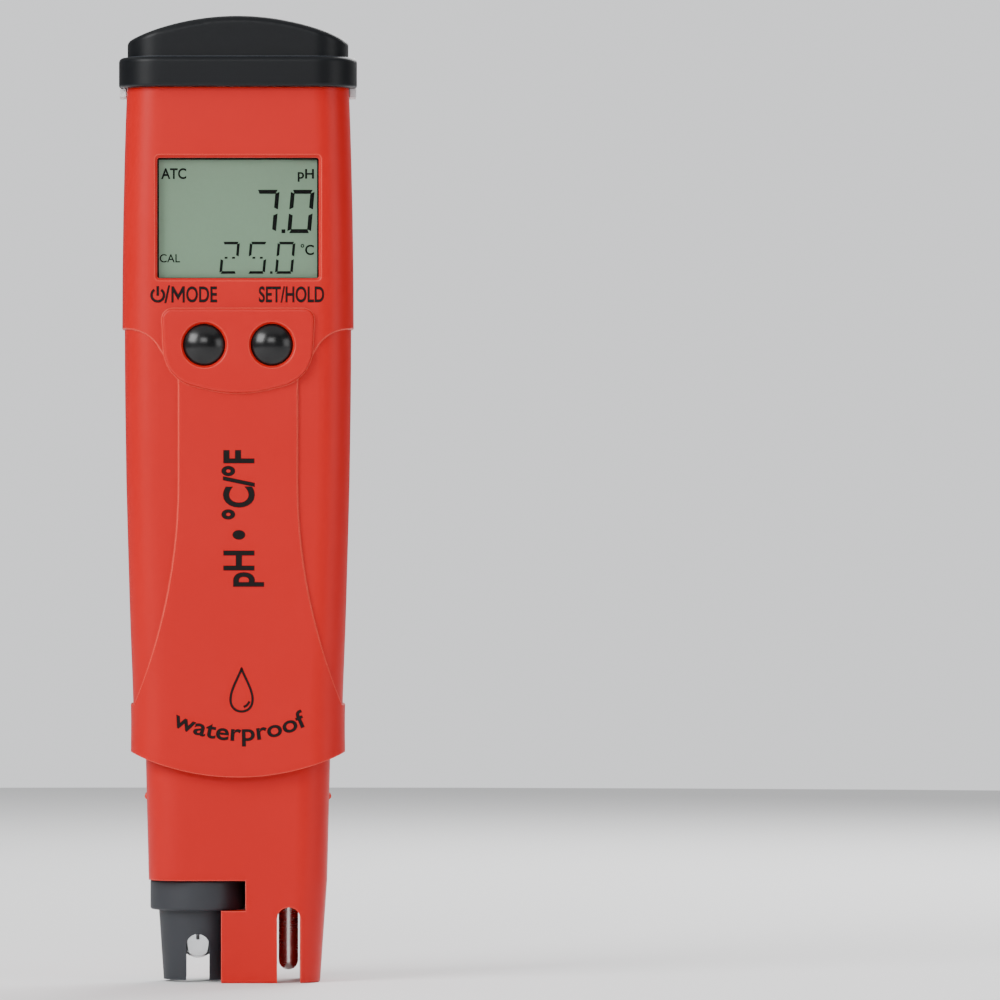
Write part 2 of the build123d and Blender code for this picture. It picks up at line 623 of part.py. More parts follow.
def battery_cap():
    """The black cap: a thick rim, an arched crown, and a shallow spigot below."""
    width = NECK_WIDTH + 2 * RIM_OVERHANG_X
    depth = NECK_DEPTH + 2 * RIM_OVERHANG_Y
    rim = upright_slab(width, depth, CORNER_RADIUS + RIM_OVERHANG_X, CAP_FOOT, RIM_TOP)
    rim = fillet(rim.edges().group_by(Axis.Z)[-1], RIM_ROUND)
    rim = fillet(rim.edges().group_by(Axis.Z)[0], RIM_ROUND / 2)
    crown = upright_slab(
        width - 2 * DOME_INSET,
        depth - 2 * DOME_INSET,
        CORNER_RADIUS + RIM_OVERHANG_X - DOME_INSET,
        RIM_TOP - OVERCUT,
        CROWN_TOP + OVERCUT,
    )
    half = width / 2 - DOME_INSET
    sag = DOME_HEIGHT - DOME_SHOULDER
    radius = (half * half + sag * sag) / (2 * sag)
    arch = Pos(0, 0, CROWN_TOP - radius) * Rot(90, 0, 0) * Cylinder(radius, BIG)
    crown = crown & arch
    top_face = crown.faces().sort_by(Axis.Z)[-1]
    crown = fillet(top_face.edges(), CAP_ROUND)
    cap = rim + crown
    cap = cap - gasket_ring() - ear_notches()
    foot = CAP_FOOT - SPIGOT_HEIGHT
    cap = cap + upright_slab(SPIGOT_WIDTH, SPIGOT_DEPTH, 2 * SPIGOT_WALL, foot, CAP_FOOT)
    cap = cap - upright_slab(
        SPIGOT_WIDTH - 2 * SPIGOT_WALL,
        SPIGOT_DEPTH - 2 * SPIGOT_WALL,
        SPIGOT_WALL,
        foot,
        RIM_TOP,
    )
    cap = cap + block(
        -BUS_HALF,
        BUS_HALF,
        STACK_BACK - BUS_WIDTH / 2,
        STACK_BACK + BUS_WIDTH / 2,
        CELL_TOP + SEAT_GAP + BUS_THICKNESS,
        RIM_TOP + SEAT_GAP,
    )
    for x, y in screw_places():
        cap = cap - disc(x, y, SCREW_RADIUS + FIT_GAP, CAP_FOOT - OVERCUT, CROWN_TOP)
        cap = cap - disc(x, y, COUNTERBORE_RADIUS, CAP_FOOT + CAP_FLOOR, CROWN_TOP + OVERCUT)
    return cap


def cap_gasket():
    """The clear silicone ring under the cap's rim, with an ear at each side to pull it by."""
    return gasket_ring() + gasket_ears()


def cap_screws():
    """Four cross-headed screws that hold the cap down."""
    screws = []
    seat = CAP_FOOT + CAP_FLOOR
    for x, y in screw_places():
        screw = disc(x, y, SCREW_HEAD_RADIUS, seat, seat + SCREW_HEAD)
        screw = fillet(screw.edges().group_by(Axis.Z)[-1], SCREW_HEAD / 4)
        screw = screw + disc(x, y, SCREW_RADIUS, BODY_TOP - SCREW_GRIP, seat)
        cross_low = seat + SCREW_HEAD / 2
        for turn in (0, 90):
            arm = Rot(0, 0, turn) * Box(CROSS_LENGTH, CROSS_WIDTH, SCREW_HEAD)
            screw = screw - Pos(x, y, cross_low + SCREW_HEAD / 2) * arm
        screws.append(screw)
    return Compound(children=screws)


def cap_contact_plate():
    """The plated strip under the cap that joins the tops of the two stacks of cells."""
    low = CELL_TOP + SEAT_GAP
    return block(
        -BUS_HALF,
        BUS_HALF,
        STACK_BACK - BUS_WIDTH / 2,
        STACK_BACK + BUS_WIDTH / 2,
        low,
        low + BUS_THICKNESS,
    )


def display_window():
    """The clear lens glued behind the display opening."""
    half = WINDOW_WIDTH / 2 + WINDOW_LEDGE
    rise = WINDOW_HEIGHT / 2 + WINDOW_LEDGE
    return block(-half, half, -LENS_FACE, -LENS_BACK, WINDOW_Z - rise, WINDOW_Z + rise)


def lcd_panel():
    """The liquid crystal display: two glass sheets, the front one shorter at the top."""
    half = LCD_WIDTH / 2
    low = WINDOW_Z - LCD_HEIGHT / 2
    high = WINDOW_Z + LCD_HEIGHT / 2
    middle = (LCD_FACE + LCD_BACK) / 2
    front = block(-half, half, -LCD_FACE, -middle, low, high)
    back = block(-half, half, -middle, -LCD_BACK, low, high)
    return front + back


def lcd_holder():
    """The white frame that holds the display and its contact strips on the board."""
    half = LCD_WIDTH / 2 + FIT_GAP
    rise = LCD_HEIGHT / 2 + FIT_GAP
    low = WINDOW_Z - rise
    high = WINDOW_Z + rise
    wall = HOLDER_WALL
    rim = LCD_FACE - HOLDER_SETBACK
    frame = block(-half - wall, half + wall, -rim, -BOARD_FACE, low - wall, high + wall)
    frame = frame - block(-half, half, -BIG, -LCD_BACK, low, high)
    inner = half - 2 * wall
    tall = rise - 2 * wall - ZEBRA_HEIGHT
    frame = frame - block(-inner, inner, -BIG, BIG, WINDOW_Z - tall, WINDOW_Z + tall)
    for side in (-1, 1):
        slot = Box(ZEBRA_LENGTH, 2 * (LCD_BACK - BOARD_FACE), ZEBRA_HEIGHT)
        frame = frame - Pos(0, -BOARD_FACE, zebra_height(side)) * slot
    return frame


def zebra_height(side):
    """The middle height of the lower or upper contact strip."""
    return WINDOW_Z + side * (LCD_HEIGHT / 2 - HOLDER_WALL - ZEBRA_HEIGHT / 2)


def zebra_strips():
    """Two striped rubber strips that join the display to the board."""
    strips = []
    for side in (-1, 1):
        strip = Box(ZEBRA_LENGTH, ZEBRA_DEPTH, ZEBRA_HEIGHT)
        strips.append(Pos(0, -(LCD_BACK + BOARD_FACE) / 2, zebra_height(side)) * strip)
    return Compound(children=strips)


def main_board():
    """The circuit board, held edgeways in the body's rails."""
    half = BOARD_HALF_WIDTH
    return block(-half, half, -BOARD_FACE, -BOARD_BACK, BOARD_LOW, BOARD_TOP)


def board_chip(width, height, x, z):
    """A part soldered on the board's back."""
    chip = Box(width, CHIP_HEIGHT, height)
    return Pos(x, -BOARD_BACK + CHIP_HEIGHT / 2, z) * chip


def controller_chip():
    """The main chip, on the board's back."""
    return board_chip(CHIP_SIDE, CHIP_SIDE, 0, KEY_Z)


def board_components():
    """Small parts on the board's back: an amplifier, a crystal and a row of capacitors."""
    pieces = []
    for width, height, x, rise in (AMPLIFIER, CRYSTAL):
        pieces.append(board_chip(width, height, x, BOARD_LOW + rise))
    width, height, first, rise = CAPACITOR
    for index in range(CAPACITOR_COUNT):
        x = first + CAPACITOR_PITCH * index
        pieces.append(board_chip(width, height, x, BOARD_LOW + rise))
    return Compound(children=pieces)


def key_switch(x):
    """A small dome switch on the board behind a key, with its round plunger."""
    top = BOARD_FACE + SWITCH_HEIGHT
    body = block(
        x - SWITCH_SIDE / 2,
        x + SWITCH_SIDE / 2,
        -top,
        -BOARD_FACE,
        KEY_Z - SWITCH_SIDE / 2,
        KEY_Z + SWITCH_SIDE / 2,
    )
    return body + key_disc(x, PLUNGER_RADIUS, top + PLUNGER, top)


def key(x):
    """A glossy key: a domed head, a barrel, a flange behind the wall and a stem."""
    radius = (KEY_RADIUS * KEY_RADIUS + KEY_DOME_SAG * KEY_DOME_SAG) / (2 * KEY_DOME_SAG)
    ball = Pos(x, -(KEY_FRONT - radius), KEY_Z) * Sphere(radius)
    head = key_disc(x, KEY_RADIUS, KEY_FRONT, KEY_FRONT - KEY_DOME_SAG - HAIR) & ball
    barrel = key_disc(x, KEY_RADIUS, KEY_FRONT - KEY_DOME_SAG, FLANGE_FACE)
    flange = key_disc(x, KEY_FLANGE_RADIUS, FLANGE_FACE, FLANGE_FACE - KEY_FLANGE)
    stem = key_disc(x, KEY_STEM_RADIUS, FLANGE_FACE - KEY_FLANGE, STEM_BACK)
    return head + barrel + flange + stem


def keypad_seal():
    """The silicone sheet behind the pad, with a lipped hole round each key."""
    sheet = block(
        -SEAL_HALF_WIDTH,
        SEAL_HALF_WIDTH,
        -SEAL_FACE,
        -SEAL_FACE + SEAL_SHEET,
        KEY_Z - SEAL_HEIGHT / 2,
        KEY_Z + SEAL_HEIGHT / 2,
    )
    for side in (-1, 1):
        hole = key_disc(side * KEY_OFFSET, KEY_RADIUS + FIT_GAP, PAD_FACE, FLANGE_FACE)
        sheet = sheet - hole
    return sheet


def battery_carrier():
    """Two tubes for the cells, hung from a flange that closes the top of the body."""
    under = CARRIER_TOP - FLANGE
    inner_width = body_width(under) - 2 * (WALL + FIT_GAP)
    inner_depth = body_depth(under) - 2 * (WALL + FIT_GAP)
    carrier = upright_slab(inner_width, inner_depth, CORNER_RADIUS - WALL, under, CARRIER_TOP)
    for x, y in screw_places():
        carrier = carrier - disc(x, y, BOSS_RADIUS + FIT_GAP, 0, BIG)
        past_x = x + math.copysign(BIG / 2, x)
        past_y = y + math.copysign(BIG / 2, y)
        carrier = carrier - Pos(past_x, past_y, under) * Box(BIG, BIG, BIG)
    stacks = (-STACK_OFFSET, STACK_OFFSET)
    for x in stacks:
        carrier = carrier + disc(x, STACK_BACK, TUBE_RADIUS, CARRIER_LOW, under)
    for x in stacks:
        bore = CELL_RADIUS + FIT_GAP
        carrier = carrier - disc(x, STACK_BACK, bore, CARRIER_LOW + CARRIER_FLOOR, BIG)
        carrier = carrier - disc(x, STACK_BACK, TAIL_HOLE, 0, BIG)
    return carrier


def battery_cell(side, layer):
    """A button cell: a can, with the smaller lid of its other pole at one end."""
    x = side * STACK_OFFSET
    low = CELL_FOOT + layer * CELL_HEIGHT
    high = low + CELL_HEIGHT
    if side < 0:
        can = disc(x, STACK_BACK, CELL_RADIUS, low + CELL_LIP, high)
        can = fillet(can.edges(), CELL_LIP / 2)
        return can + disc(x, STACK_BACK, CELL_RADIUS - CELL_LIP, low, low + CELL_LIP)
    can = disc(x, STACK_BACK, CELL_RADIUS, low, high - CELL_LIP)
    can = fillet(can.edges(), CELL_LIP / 2)
    return can + disc(x, STACK_BACK, CELL_RADIUS - CELL_LIP, high - CELL_LIP, high)


def battery_springs():
    """A bowed leaf under each stack, with a tail down through the floor to the board."""
    leaves = []
    base = CARRIER_LOW + CARRIER_FLOOR
    for side in (-1, 1):
        x = side * STACK_OFFSET
        leaf = disc(x, STACK_BACK, CELL_RADIUS / 2, base, base + SPRING_THICKNESS)
        bow = disc(x, STACK_BACK, CELL_RADIUS / 4, base, base + SPRING_HEIGHT)
        tail_low = CARRIER_LOW - 2 * SPRING_THICKNESS
        tail = disc(x, STACK_BACK, 2 * SPRING_THICKNESS, tail_low, base)
        tail_foot = tail_low + SPRING_THICKNESS
        reach = (x - TAIL_HOLE, x + TAIL_HOLE, -BOARD_BACK, STACK_BACK)
        leaves.append(leaf + bow + tail + block(*reach, tail_low, tail_foot))
    return Compound(children=leaves)


def turned(points):
    """A solid turned about the electrode's axis, from points of radius and height."""
    face = make_face(Polyline(*points, close=True))
    solid = revolve(Rot(90, 0, 0) * face, Axis.Z, 360)
    return Pos(ELECTRODE_X, 0, 0) * solid


def electrode_body():
    """The grey electrode: a slotted guard, a wide collar, and a barrel with ring grooves."""
    collar_low = NOTCH_STEP
    collar_high = WAIST - SEAT_GAP
    body = turned(
        [
            (0, ELECTRODE_STAND),
            (GUARD_TIP_RADIUS, ELECTRODE_STAND),
            (GUARD_RADIUS, collar_low),
            (COLLAR_RADIUS, collar_low),
            (COLLAR_RADIUS, collar_high),
            (BARREL_RADIUS, collar_high),
            (BARREL_RADIUS, BARREL_TOP),
            (0, BARREL_TOP),
        ]
    )
    rounds = body.edges().filter_by(GeomType.CIRCLE)
    body = fillet(rounds.filter_by(lambda edge: abs(edge.radius - COLLAR_RADIUS) < HAIR), FINE_EDGE)
    body = body - disc(ELECTRODE_X, 0, GUARD_BORE_RADIUS, -OVERCUT, GUARD_ROOF)
    body = body - rounded_hole(ELECTRODE_X, SLOT_WIDTH, SLOT_TOP, -OVERCUT)
    body = body - disc(ELECTRODE_X, 0, GEL_RADIUS, GEL_FLOOR, BARREL_TOP + OVERCUT)
    roof = GUARD_ROOF - OVERCUT
    body = body - disc(ELECTRODE_X, 0, STEM_RADIUS, roof, GEL_FLOOR + OVERCUT)
    junction_x = ELECTRODE_X + REFERENCE_OFFSET
    body = body - disc(junction_x, 0, JUNCTION_RADIUS, roof, GEL_FLOOR + OVERCUT)
    for low in RING_HEIGHTS:
        high = low + RING_GROOVE
        groove = disc(ELECTRODE_X, 0, BARREL_RADIUS + OVERCUT, low, high)
        body = body - (groove - disc(ELECTRODE_X, 0, BARREL_RADIUS - RING_DEPTH, low, high))
    return body


def electrode_plug():
    """The plug that closes the top of the electrode's gel chamber."""
    plug = disc(ELECTRODE_X, 0, GEL_RADIUS, GEL_TOP, BARREL_TOP)
    for x in (ELECTRODE_X, ELECTRODE_X + REFERENCE_OFFSET):
        plug = plug - disc(x, 0, WIRE_RADIUS, GEL_TOP, BARREL_TOP)
    return plug


def electrode_glass():
    """The sensing glass: a thin blown bulb on a glass stem."""
    outer = Pos(ELECTRODE_X, 0, BULB_HEIGHT) * Sphere(BULB_RADIUS)
    outer = outer + disc(ELECTRODE_X, 0, STEM_RADIUS, BULB_HEIGHT, STEM_TOP)
    inner = Pos(ELECTRODE_X, 0, BULB_HEIGHT) * Sphere(BULB_RADIUS - BULB_WALL)
    bore = STEM_RADIUS - GLASS_WALL
    inner = inner + disc(ELECTRODE_X, 0, bore, BULB_HEIGHT, STEM_TOP + OVERCUT)
    return outer - inner


def electrode_inner_wire():
    """The silver wire inside the glass stem."""
    return disc(ELECTRODE_X, 0, WIRE_RADIUS, BULB_HEIGHT, BARREL_TOP)


def reference_wire():
    """The silver reference wire in the gel chamber."""
    x = ELECTRODE_X + REFERENCE_OFFSET
    return disc(x, 0, WIRE_RADIUS, GEL_FLOOR + REFERENCE_FOOT, BARREL_TOP)


def electrode_junction():
    """The cloth wick that joins the gel chamber to the liquid."""
    x = ELECTRODE_X + REFERENCE_OFFSET
    low = GUARD_ROOF - JUNCTION_STANDS_OUT
    return disc(x, 0, JUNCTION_RADIUS, low, GEL_FLOOR + JUNCTION_IN_GEL)


def electrode_orings():
    """Two rings that seal the electrode's barrel in its bore."""
    rings = []
    outer = BORE_RADIUS - RUNNING
    inner = BARREL_RADIUS - RING_DEPTH + RUNNING
    for low in RING_HEIGHTS:
        z_low = low + FIT_GAP
        z_high = low + RING_GROOVE - FIT_GAP
        ring = disc(ELECTRODE_X, 0, outer, z_low, z_high)
        rings.append(ring - disc(ELECTRODE_X, 0, inner, z_low, z_high))
    return Compound(children=rings)


def electrode_contacts():
    """A round centre pad and a ring around it, on top of the electrode."""
    high = BARREL_TOP + CONTACT_HEIGHT
    centre = disc(ELECTRODE_X, 0, CONTACT_CENTRE, BARREL_TOP, high)
    ring = disc(ELECTRODE_X, 0, REFERENCE_OFFSET + CONTACT_BAND, BARREL_TOP, high)
    ring = ring - disc(ELECTRODE_X, 0, REFERENCE_OFFSET - CONTACT_BAND, BARREL_TOP, high)
    return Compound(children=[centre, ring])


def electrode_socket():
    """The black block that closes the bore and holds the spring pins."""
    low = TUBE_TOP - SOCKET_HEIGHT
    socket = disc(ELECTRODE_X, 0, BORE_RADIUS, low, TUBE_TOP)
    flange_top = TUBE_TOP + SOCKET_FLANGE
    flange = disc(ELECTRODE_X, 0, BORE_RADIUS + SOCKET_LAP, TUBE_TOP, flange_top)
    socket = socket + (flange & housing_cavity(FIT_GAP, TUBE_TOP, flange_top))
    for x in (ELECTRODE_X, ELECTRODE_X + REFERENCE_OFFSET):
        socket = socket - disc(x, 0, PIN_RADIUS, low - OVERCUT, flange_top + OVERCUT)
    return socket


def socket_pins():
    """Two spring pins that press on the electrode's contacts."""
    low = BARREL_TOP + CONTACT_HEIGHT + CONTACT_GAP
    pins = []
    for x in (ELECTRODE_X, ELECTRODE_X + REFERENCE_OFFSET):
        pins.append(disc(x, 0, PIN_RADIUS, low, PIN_TOP))
    return Compound(children=pins)


def temperature_probe():
    """The steel tube of the temperature sensor, closed by a round end."""
    tube = disc(ROD_X, 0, ROD_RADIUS, ROD_TIP + ROD_RADIUS, ROD_TOP)
    tube = tube + Pos(ROD_X, 0, ROD_TIP + ROD_RADIUS) * Sphere(ROD_RADIUS)
    bore = disc(ROD_X, 0, ROD_BORE_RADIUS, ROD_TIP + ROD_RADIUS, ROD_TOP + OVERCUT)
    bore = bore + Pos(ROD_X, 0, ROD_TIP + ROD_RADIUS) * Sphere(ROD_BORE_RADIUS)
    return tube - bore


def temperature_grommet():
    """The rubber ring that seals the steel tube at the top of its boss."""
    grommet = disc(ROD_X, 0, ROD_BOSS_RADIUS, ROD_BOSS_TOP, ROD_BOSS_TOP + GROMMET_HEIGHT)
    return grommet - disc(ROD_X, 0, ROD_RADIUS, ROD_BOSS_TOP, ROD_BOSS_TOP + GROMMET_HEIGHT)


def thermistor():
    """The sensing bead in the tip of the steel tube."""
    return Pos(ROD_X, 0, BEAD_HEIGHT) * Sphere(BEAD_RADIUS)


def thermistor_leads():
    """The bead's two fine leads, up through the tube to the ribbon."""
    leads = []
    foot = BEAD_HEIGHT + math.sqrt(BEAD_RADIUS**2 - (LEAD_OFFSET + LEAD_RADIUS) ** 2)
    for side in (-1, 1):
        leads.append(disc(ROD_X + side * LEAD_OFFSET, 0, LEAD_RADIUS, foot + LEAD_RADIUS, TUBE_TOP))
    return Compound(children=leads)


def probe_ribbon():
    """The flat cable from the electrode's socket up to the foot of the board."""
    half = RIBBON_THICKNESS / 2
    path = [
        (0, PIN_TOP),
        (0, PLUG_TOP),
        (BOARD_BACK - half, BOARD_LOW - RIBBON_BEND_BELOW),
        (BOARD_BACK - half, BOARD_LOW + RIBBON_LAP),
    ]
    sides = [(-depth - half, height) for depth, height in path]
    sides += [(-depth + half, height) for depth, height in reversed(path)]
    face = make_face(Polyline(*sides, close=True))
    strip = extrude(Plane.YZ * face, RIBBON_WIDTH)
    return Pos(ELECTRODE_X - RIBBON_WIDTH / 2, 0, 0) * strip


os.makedirs("parts", exist_ok=True)
NODES = {
    "body_shell": body_shell(),
    "probe_housing": probe_housing(),
    "housing_oring": housing_oring(),
    "battery_cap": battery_cap(),
    "cap_gasket": cap_gasket(),
    "cap_screws": cap_screws(),
    "cap_contact_plate": cap_contact_plate(),
    "display_window": display_window(),
    "lcd_panel": lcd_panel(),
    "lcd_holder": lcd_holder(),
    "zebra_strips": zebra_strips(),
    "main_board": main_board(),
    "controller_chip": controller_chip(),
    "board_components": board_components(),
    "mode_switch": key_switch(-KEY_OFFSET),
    "hold_switch": key_switch(KEY_OFFSET),
    "mode_button": key(-KEY_OFFSET),
    "hold_button": key(KEY_OFFSET),
    "keypad_seal": keypad_seal(),
    "battery_carrier": battery_carrier(),
    "battery_springs": battery_springs(),
    "electrode_body": electrode_body(),
    "electrode_plug": electrode_plug(),
    "electrode_glass": electrode_glass(),
    "electrode_inner_wire": electrode_inner_wire(),
    "reference_wire": reference_wire(),
    "electrode_junction": electrode_junction(),
    "electrode_orings": electrode_orings(),
    "electrode_contacts": electrode_contacts(),
    "electrode_socket": electrode_socket(),
    "socket_pins": socket_pins(),
    "temperature_probe": temperature_probe(),
    "temperature_grommet": temperature_grommet(),
    "thermistor": thermistor(),
    "thermistor_leads": thermistor_leads(),
    "probe_ribbon": probe_ribbon(),
}
for stack, side in (("left", -1), ("right", 1)):
    for layer, place in enumerate(("lower", "upper")):
        NODES[f"battery_cell_{stack}_{place}"] = battery_cell(side, layer)
for name, shape in NODES.items():
    export_step(shape, f"parts/{name}.step")
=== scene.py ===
import math

import bmesh
import bpy
from mathutils import Matrix, Vector
from mathutils.bvhtree import BVHTree


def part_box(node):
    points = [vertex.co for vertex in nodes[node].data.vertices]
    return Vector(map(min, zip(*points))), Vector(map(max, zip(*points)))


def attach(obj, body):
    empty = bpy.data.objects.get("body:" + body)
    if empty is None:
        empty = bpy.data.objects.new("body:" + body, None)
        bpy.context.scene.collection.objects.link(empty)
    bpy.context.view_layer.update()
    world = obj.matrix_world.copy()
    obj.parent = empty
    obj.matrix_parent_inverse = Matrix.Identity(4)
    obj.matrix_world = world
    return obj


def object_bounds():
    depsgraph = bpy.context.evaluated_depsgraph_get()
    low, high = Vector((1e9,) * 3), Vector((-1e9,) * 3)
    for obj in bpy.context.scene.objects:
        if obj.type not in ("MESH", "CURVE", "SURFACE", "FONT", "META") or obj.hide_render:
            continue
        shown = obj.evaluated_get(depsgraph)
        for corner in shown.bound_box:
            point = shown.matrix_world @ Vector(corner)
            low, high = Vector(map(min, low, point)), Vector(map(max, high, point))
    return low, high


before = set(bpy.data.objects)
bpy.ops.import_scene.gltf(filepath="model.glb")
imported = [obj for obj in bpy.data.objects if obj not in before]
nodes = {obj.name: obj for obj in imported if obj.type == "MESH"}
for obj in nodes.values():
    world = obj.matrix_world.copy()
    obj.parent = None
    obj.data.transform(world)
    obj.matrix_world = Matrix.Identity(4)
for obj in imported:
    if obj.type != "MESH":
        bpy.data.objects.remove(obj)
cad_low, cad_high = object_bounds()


# ---- the red body shell
# The real piece is one tube moulded in red ABS with a satin, very finely grained skin.
# Its corners and the steps round the grips and the key pad are softly broken by the mould.

MM = 0.001


class Value:
    """A number in a shader: arithmetic on it adds the Math nodes."""

    def __init__(self, finish, socket):
        self.finish = finish
        self.socket = socket

    def math(self, operation, first, second):
        return self.finish.node("ShaderNodeMath", {"operation": operation}, {0: first, 1: second})

    def __add__(self, other):
        return self.math("ADD", self, other)

    def __radd__(self, other):
        return self.math("ADD", other, self)

    def __sub__(self, other):
        return self.math("SUBTRACT", self, other)

    def __rsub__(self, other):
        return self.math("SUBTRACT", other, self)

    def __mul__(self, other):
        return self.math("MULTIPLY", self, other)

    def __rmul__(self, other):
        return self.math("MULTIPLY", other, self)


class Finish:
    """One surface finish: a Principled shader and the nodes that vary it."""

    def __init__(self, name, **sockets):
        self.material = bpy.data.materials.new(name)
        self.material.use_nodes = True
        self.tree = self.material.node_tree
        self.shader = self.tree.nodes["Principled BSDF"]
        for socket, amount in sockets.items():
            self.shader.inputs[socket.replace("_", " ")].default_value = amount

    def node(self, kind, settings=None, sockets=None, output=0):
        """Adds a node, sets its settings, then its sockets, and gives back one output."""
        made = self.tree.nodes.new(kind)
        for key, setting in (settings or {}).items():
            setattr(made, key, setting)
        for key, amount in (sockets or {}).items():
            if isinstance(amount, Value):
                self.tree.links.new(amount.socket, made.inputs[key])
            else:
                made.inputs[key].default_value = amount
        return Value(self, made.outputs[output])

    def drive(self, **sockets):
        """Feeds the shader's own sockets from nodes."""
        for socket, amount in sockets.items():
            self.tree.links.new(amount.socket, self.shader.inputs[socket.replace("_", " ")])
        return self

    def place(self, stretch=(1, 1, 1)):
        """Object coordinates, stretched along each axis."""
        here = self.node("ShaderNodeTexCoord", output="Object")
        return self.node("ShaderNodeMapping", sockets={"Vector": here, "Scale": stretch})

    def noise(self, scale, detail=2.0, stretch=(1, 1, 1)):
        """Noise between 0 and 1, with so many grains to the metre."""
        sockets = {"Vector": self.place(stretch), "Scale": scale, "Detail": detail}
        return self.node("ShaderNodeTexNoise", sockets=sockets)

    def blend(self, amount, low, high):
        """A colour between two, by a number."""
        sockets = {"Factor": amount, "A": low, "B": high}
        return self.node("ShaderNodeMix", {"data_type": "RGBA"}, sockets, output="Result")

    def soft_edges(self, radius):
        """The surface normal, rounded over every sharp edge."""
        return self.node("ShaderNodeBevel", {"samples": 6}, {"Radius": radius})

    def edge_mask(self, rounded):
        """0 on open faces, rising to 1 on a broken edge."""
        flat = self.node("ShaderNodeNewGeometry", output="Normal")
        dot = self.node(
            "ShaderNodeVectorMath", {"operation": "DOT_PRODUCT"}, {0: rounded, 1: flat}, "Value"
        )
        gain = 11.0
        return self.node("ShaderNodeClamp", sockets={"Value": (1 - dot) * gain})

    def bump(self, height, distance, strength=1.0, normal=None):
        """A normal pushed up and down by a height, over an already rounded normal."""
        sockets = {"Height": height, "Distance": distance, "Strength": strength}
        if normal is not None:
            sockets["Normal"] = normal
        return self.node("ShaderNodeBump", sockets=sockets)


def shade(red, green, blue):
    """A colour from its 0 to 255 screen values, made linear."""
    offset, curve = 0.055, 2.4
    linear = [((part / 255 + offset) / (1 + offset)) ** curve for part in (red, green, blue)]
    return (*linear, 1)


def dress(names, finish):
    """Gives CAD nodes a finish."""
    for name in names:
        mesh = nodes[name].data
        mesh.materials.clear()
        mesh.materials.append(finish.material)
        mesh.polygons.foreach_set("material_index", [0] * len(mesh.polygons))


def red_plastic():
    """Red ABS: a fine grain, faint flow clouds, and a painted highlight along its edges."""
    finish = Finish("red_abs", IOR=1.5, Specular_IOR_Level=0.25)
    clouds = finish.noise(45, 3)
    rounded = finish.soft_edges(0.35 * MM)
    edge_highlight = finish.edge_mask(rounded)
    body = finish.blend(clouds, shade(180, 6, 4), shade(188, 11, 7))
    # Painted highlight: the edges are drawn paler, where their rounding would catch the light.
    colour = finish.blend(edge_highlight * 0.75, body, shade(240, 84, 68))
    grain = finish.noise(5200, 2)
    smears = finish.noise(120, 4)
    normal = finish.bump(grain, 0.006 * MM, 0.6, rounded)
    rough = 0.34 + smears * 0.12 - edge_highlight * 0.08
    return finish.drive(Base_Color=colour, Roughness=rough, Normal=normal)


red_finish = red_plastic()
dress(["body_shell", "probe_housing"], red_finish)


# ---- the battery cap and its screws
# The cap is moulded in black ABS, a little bluish in the light, with the same fine grain.
# Four plated cross-headed screws sit deep in its counterbores and hold it down.

def black_plastic():
    """Black satin ABS, with a painted highlight along its edges."""
    finish = Finish("black_abs", IOR=1.5, Specular_IOR_Level=0.22)
    rounded = finish.soft_edges(0.3 * MM)
    edge_highlight = finish.edge_mask(rounded)
    clouds = finish.noise(60, 3)
    body = finish.blend(clouds, shade(5, 7, 10), shade(9, 12, 16))
    # Painted highlight: the edges are drawn brighter, where their rounding would catch the light.
    colour = finish.blend(edge_highlight * 0.8, body, shade(92, 98, 106))
    grain = finish.noise(4200, 2)
    normal = finish.bump(grain, 0.008 * MM, 0.7, rounded)
    rough = 0.36 + clouds * 0.14
    return finish.drive(Base_Color=colour, Roughness=rough, Normal=normal)


def plated_steel():
    """Bright plated steel with a fine polish in one direction and a few dull marks."""
    finish = Finish("plated_steel", Metallic=1.0)
    marks = finish.noise(300, 4)
    polish = finish.noise(900, 3, (1, 1, 12))
    colour = finish.blend(marks, shade(196, 196, 194), shade(224, 223, 220))
    rough = 0.16 + marks * 0.12 + polish * 0.08
    normal = finish.bump(polish, 0.003 * MM, 0.5, finish.soft_edges(0.1 * MM))
    return finish.drive(Base_Color=colour, Roughness=rough, Normal=normal)


black_finish = black_plastic()
steel_finish = plated_steel()
dress(["battery_cap", "electrode_socket"], black_finish)
dress(["cap_screws", "cap_contact_plate", "battery_springs", "temperature_probe"], steel_finish)


# ---- the gasket under the cap
# A milky, clear silicone ring in the cap's rim. Its two ears hang down at the sides.

def milky_silicone():
    """Clouded silicone that lets some light in."""
    finish = Finish("milky_silicone", IOR=1.41, Transmission_Weight=0.25)
    clouds = finish.noise(700, 3)
    colour = finish.blend(clouds, shade(226, 229, 232), shade(244, 246, 247))
    rough = 0.3 + clouds * 0.15
    normal = finish.bump(clouds, 0.01 * MM, 0.5, finish.soft_edges(0.2 * MM))
    return finish.drive(Base_Color=colour, Roughness=rough, Normal=normal)


dress(["cap_gasket"], milky_silicone())


# ---- the keys
# Two domed keys moulded in glossy black plastic. Each slides in its bore through the pad,
# and its polished head shows a slight waviness from the mould.

def glossy_black():
    """Polished black plastic under a clear gloss."""
    finish = Finish("gloss_black", IOR=1.5, Specular_IOR_Level=0.4)
    waves = finish.noise(260, 2)
    colour = finish.blend(waves, shade(6, 6, 7), shade(11, 11, 13))
    rough = 0.21 + waves * 0.08
    normal = finish.bump(waves, 0.01 * MM, 0.35, finish.soft_edges(0.15 * MM))
    return finish.drive(Base_Color=colour, Roughness=rough, Normal=normal)


dress(["mode_button", "hold_button"], glossy_black())


# ---- the display window
# A clear polycarbonate lens glued behind the opening. It is nearly invisible from the
# front. Seen more than about 50 degrees off its face, its back face turns into a mirror.

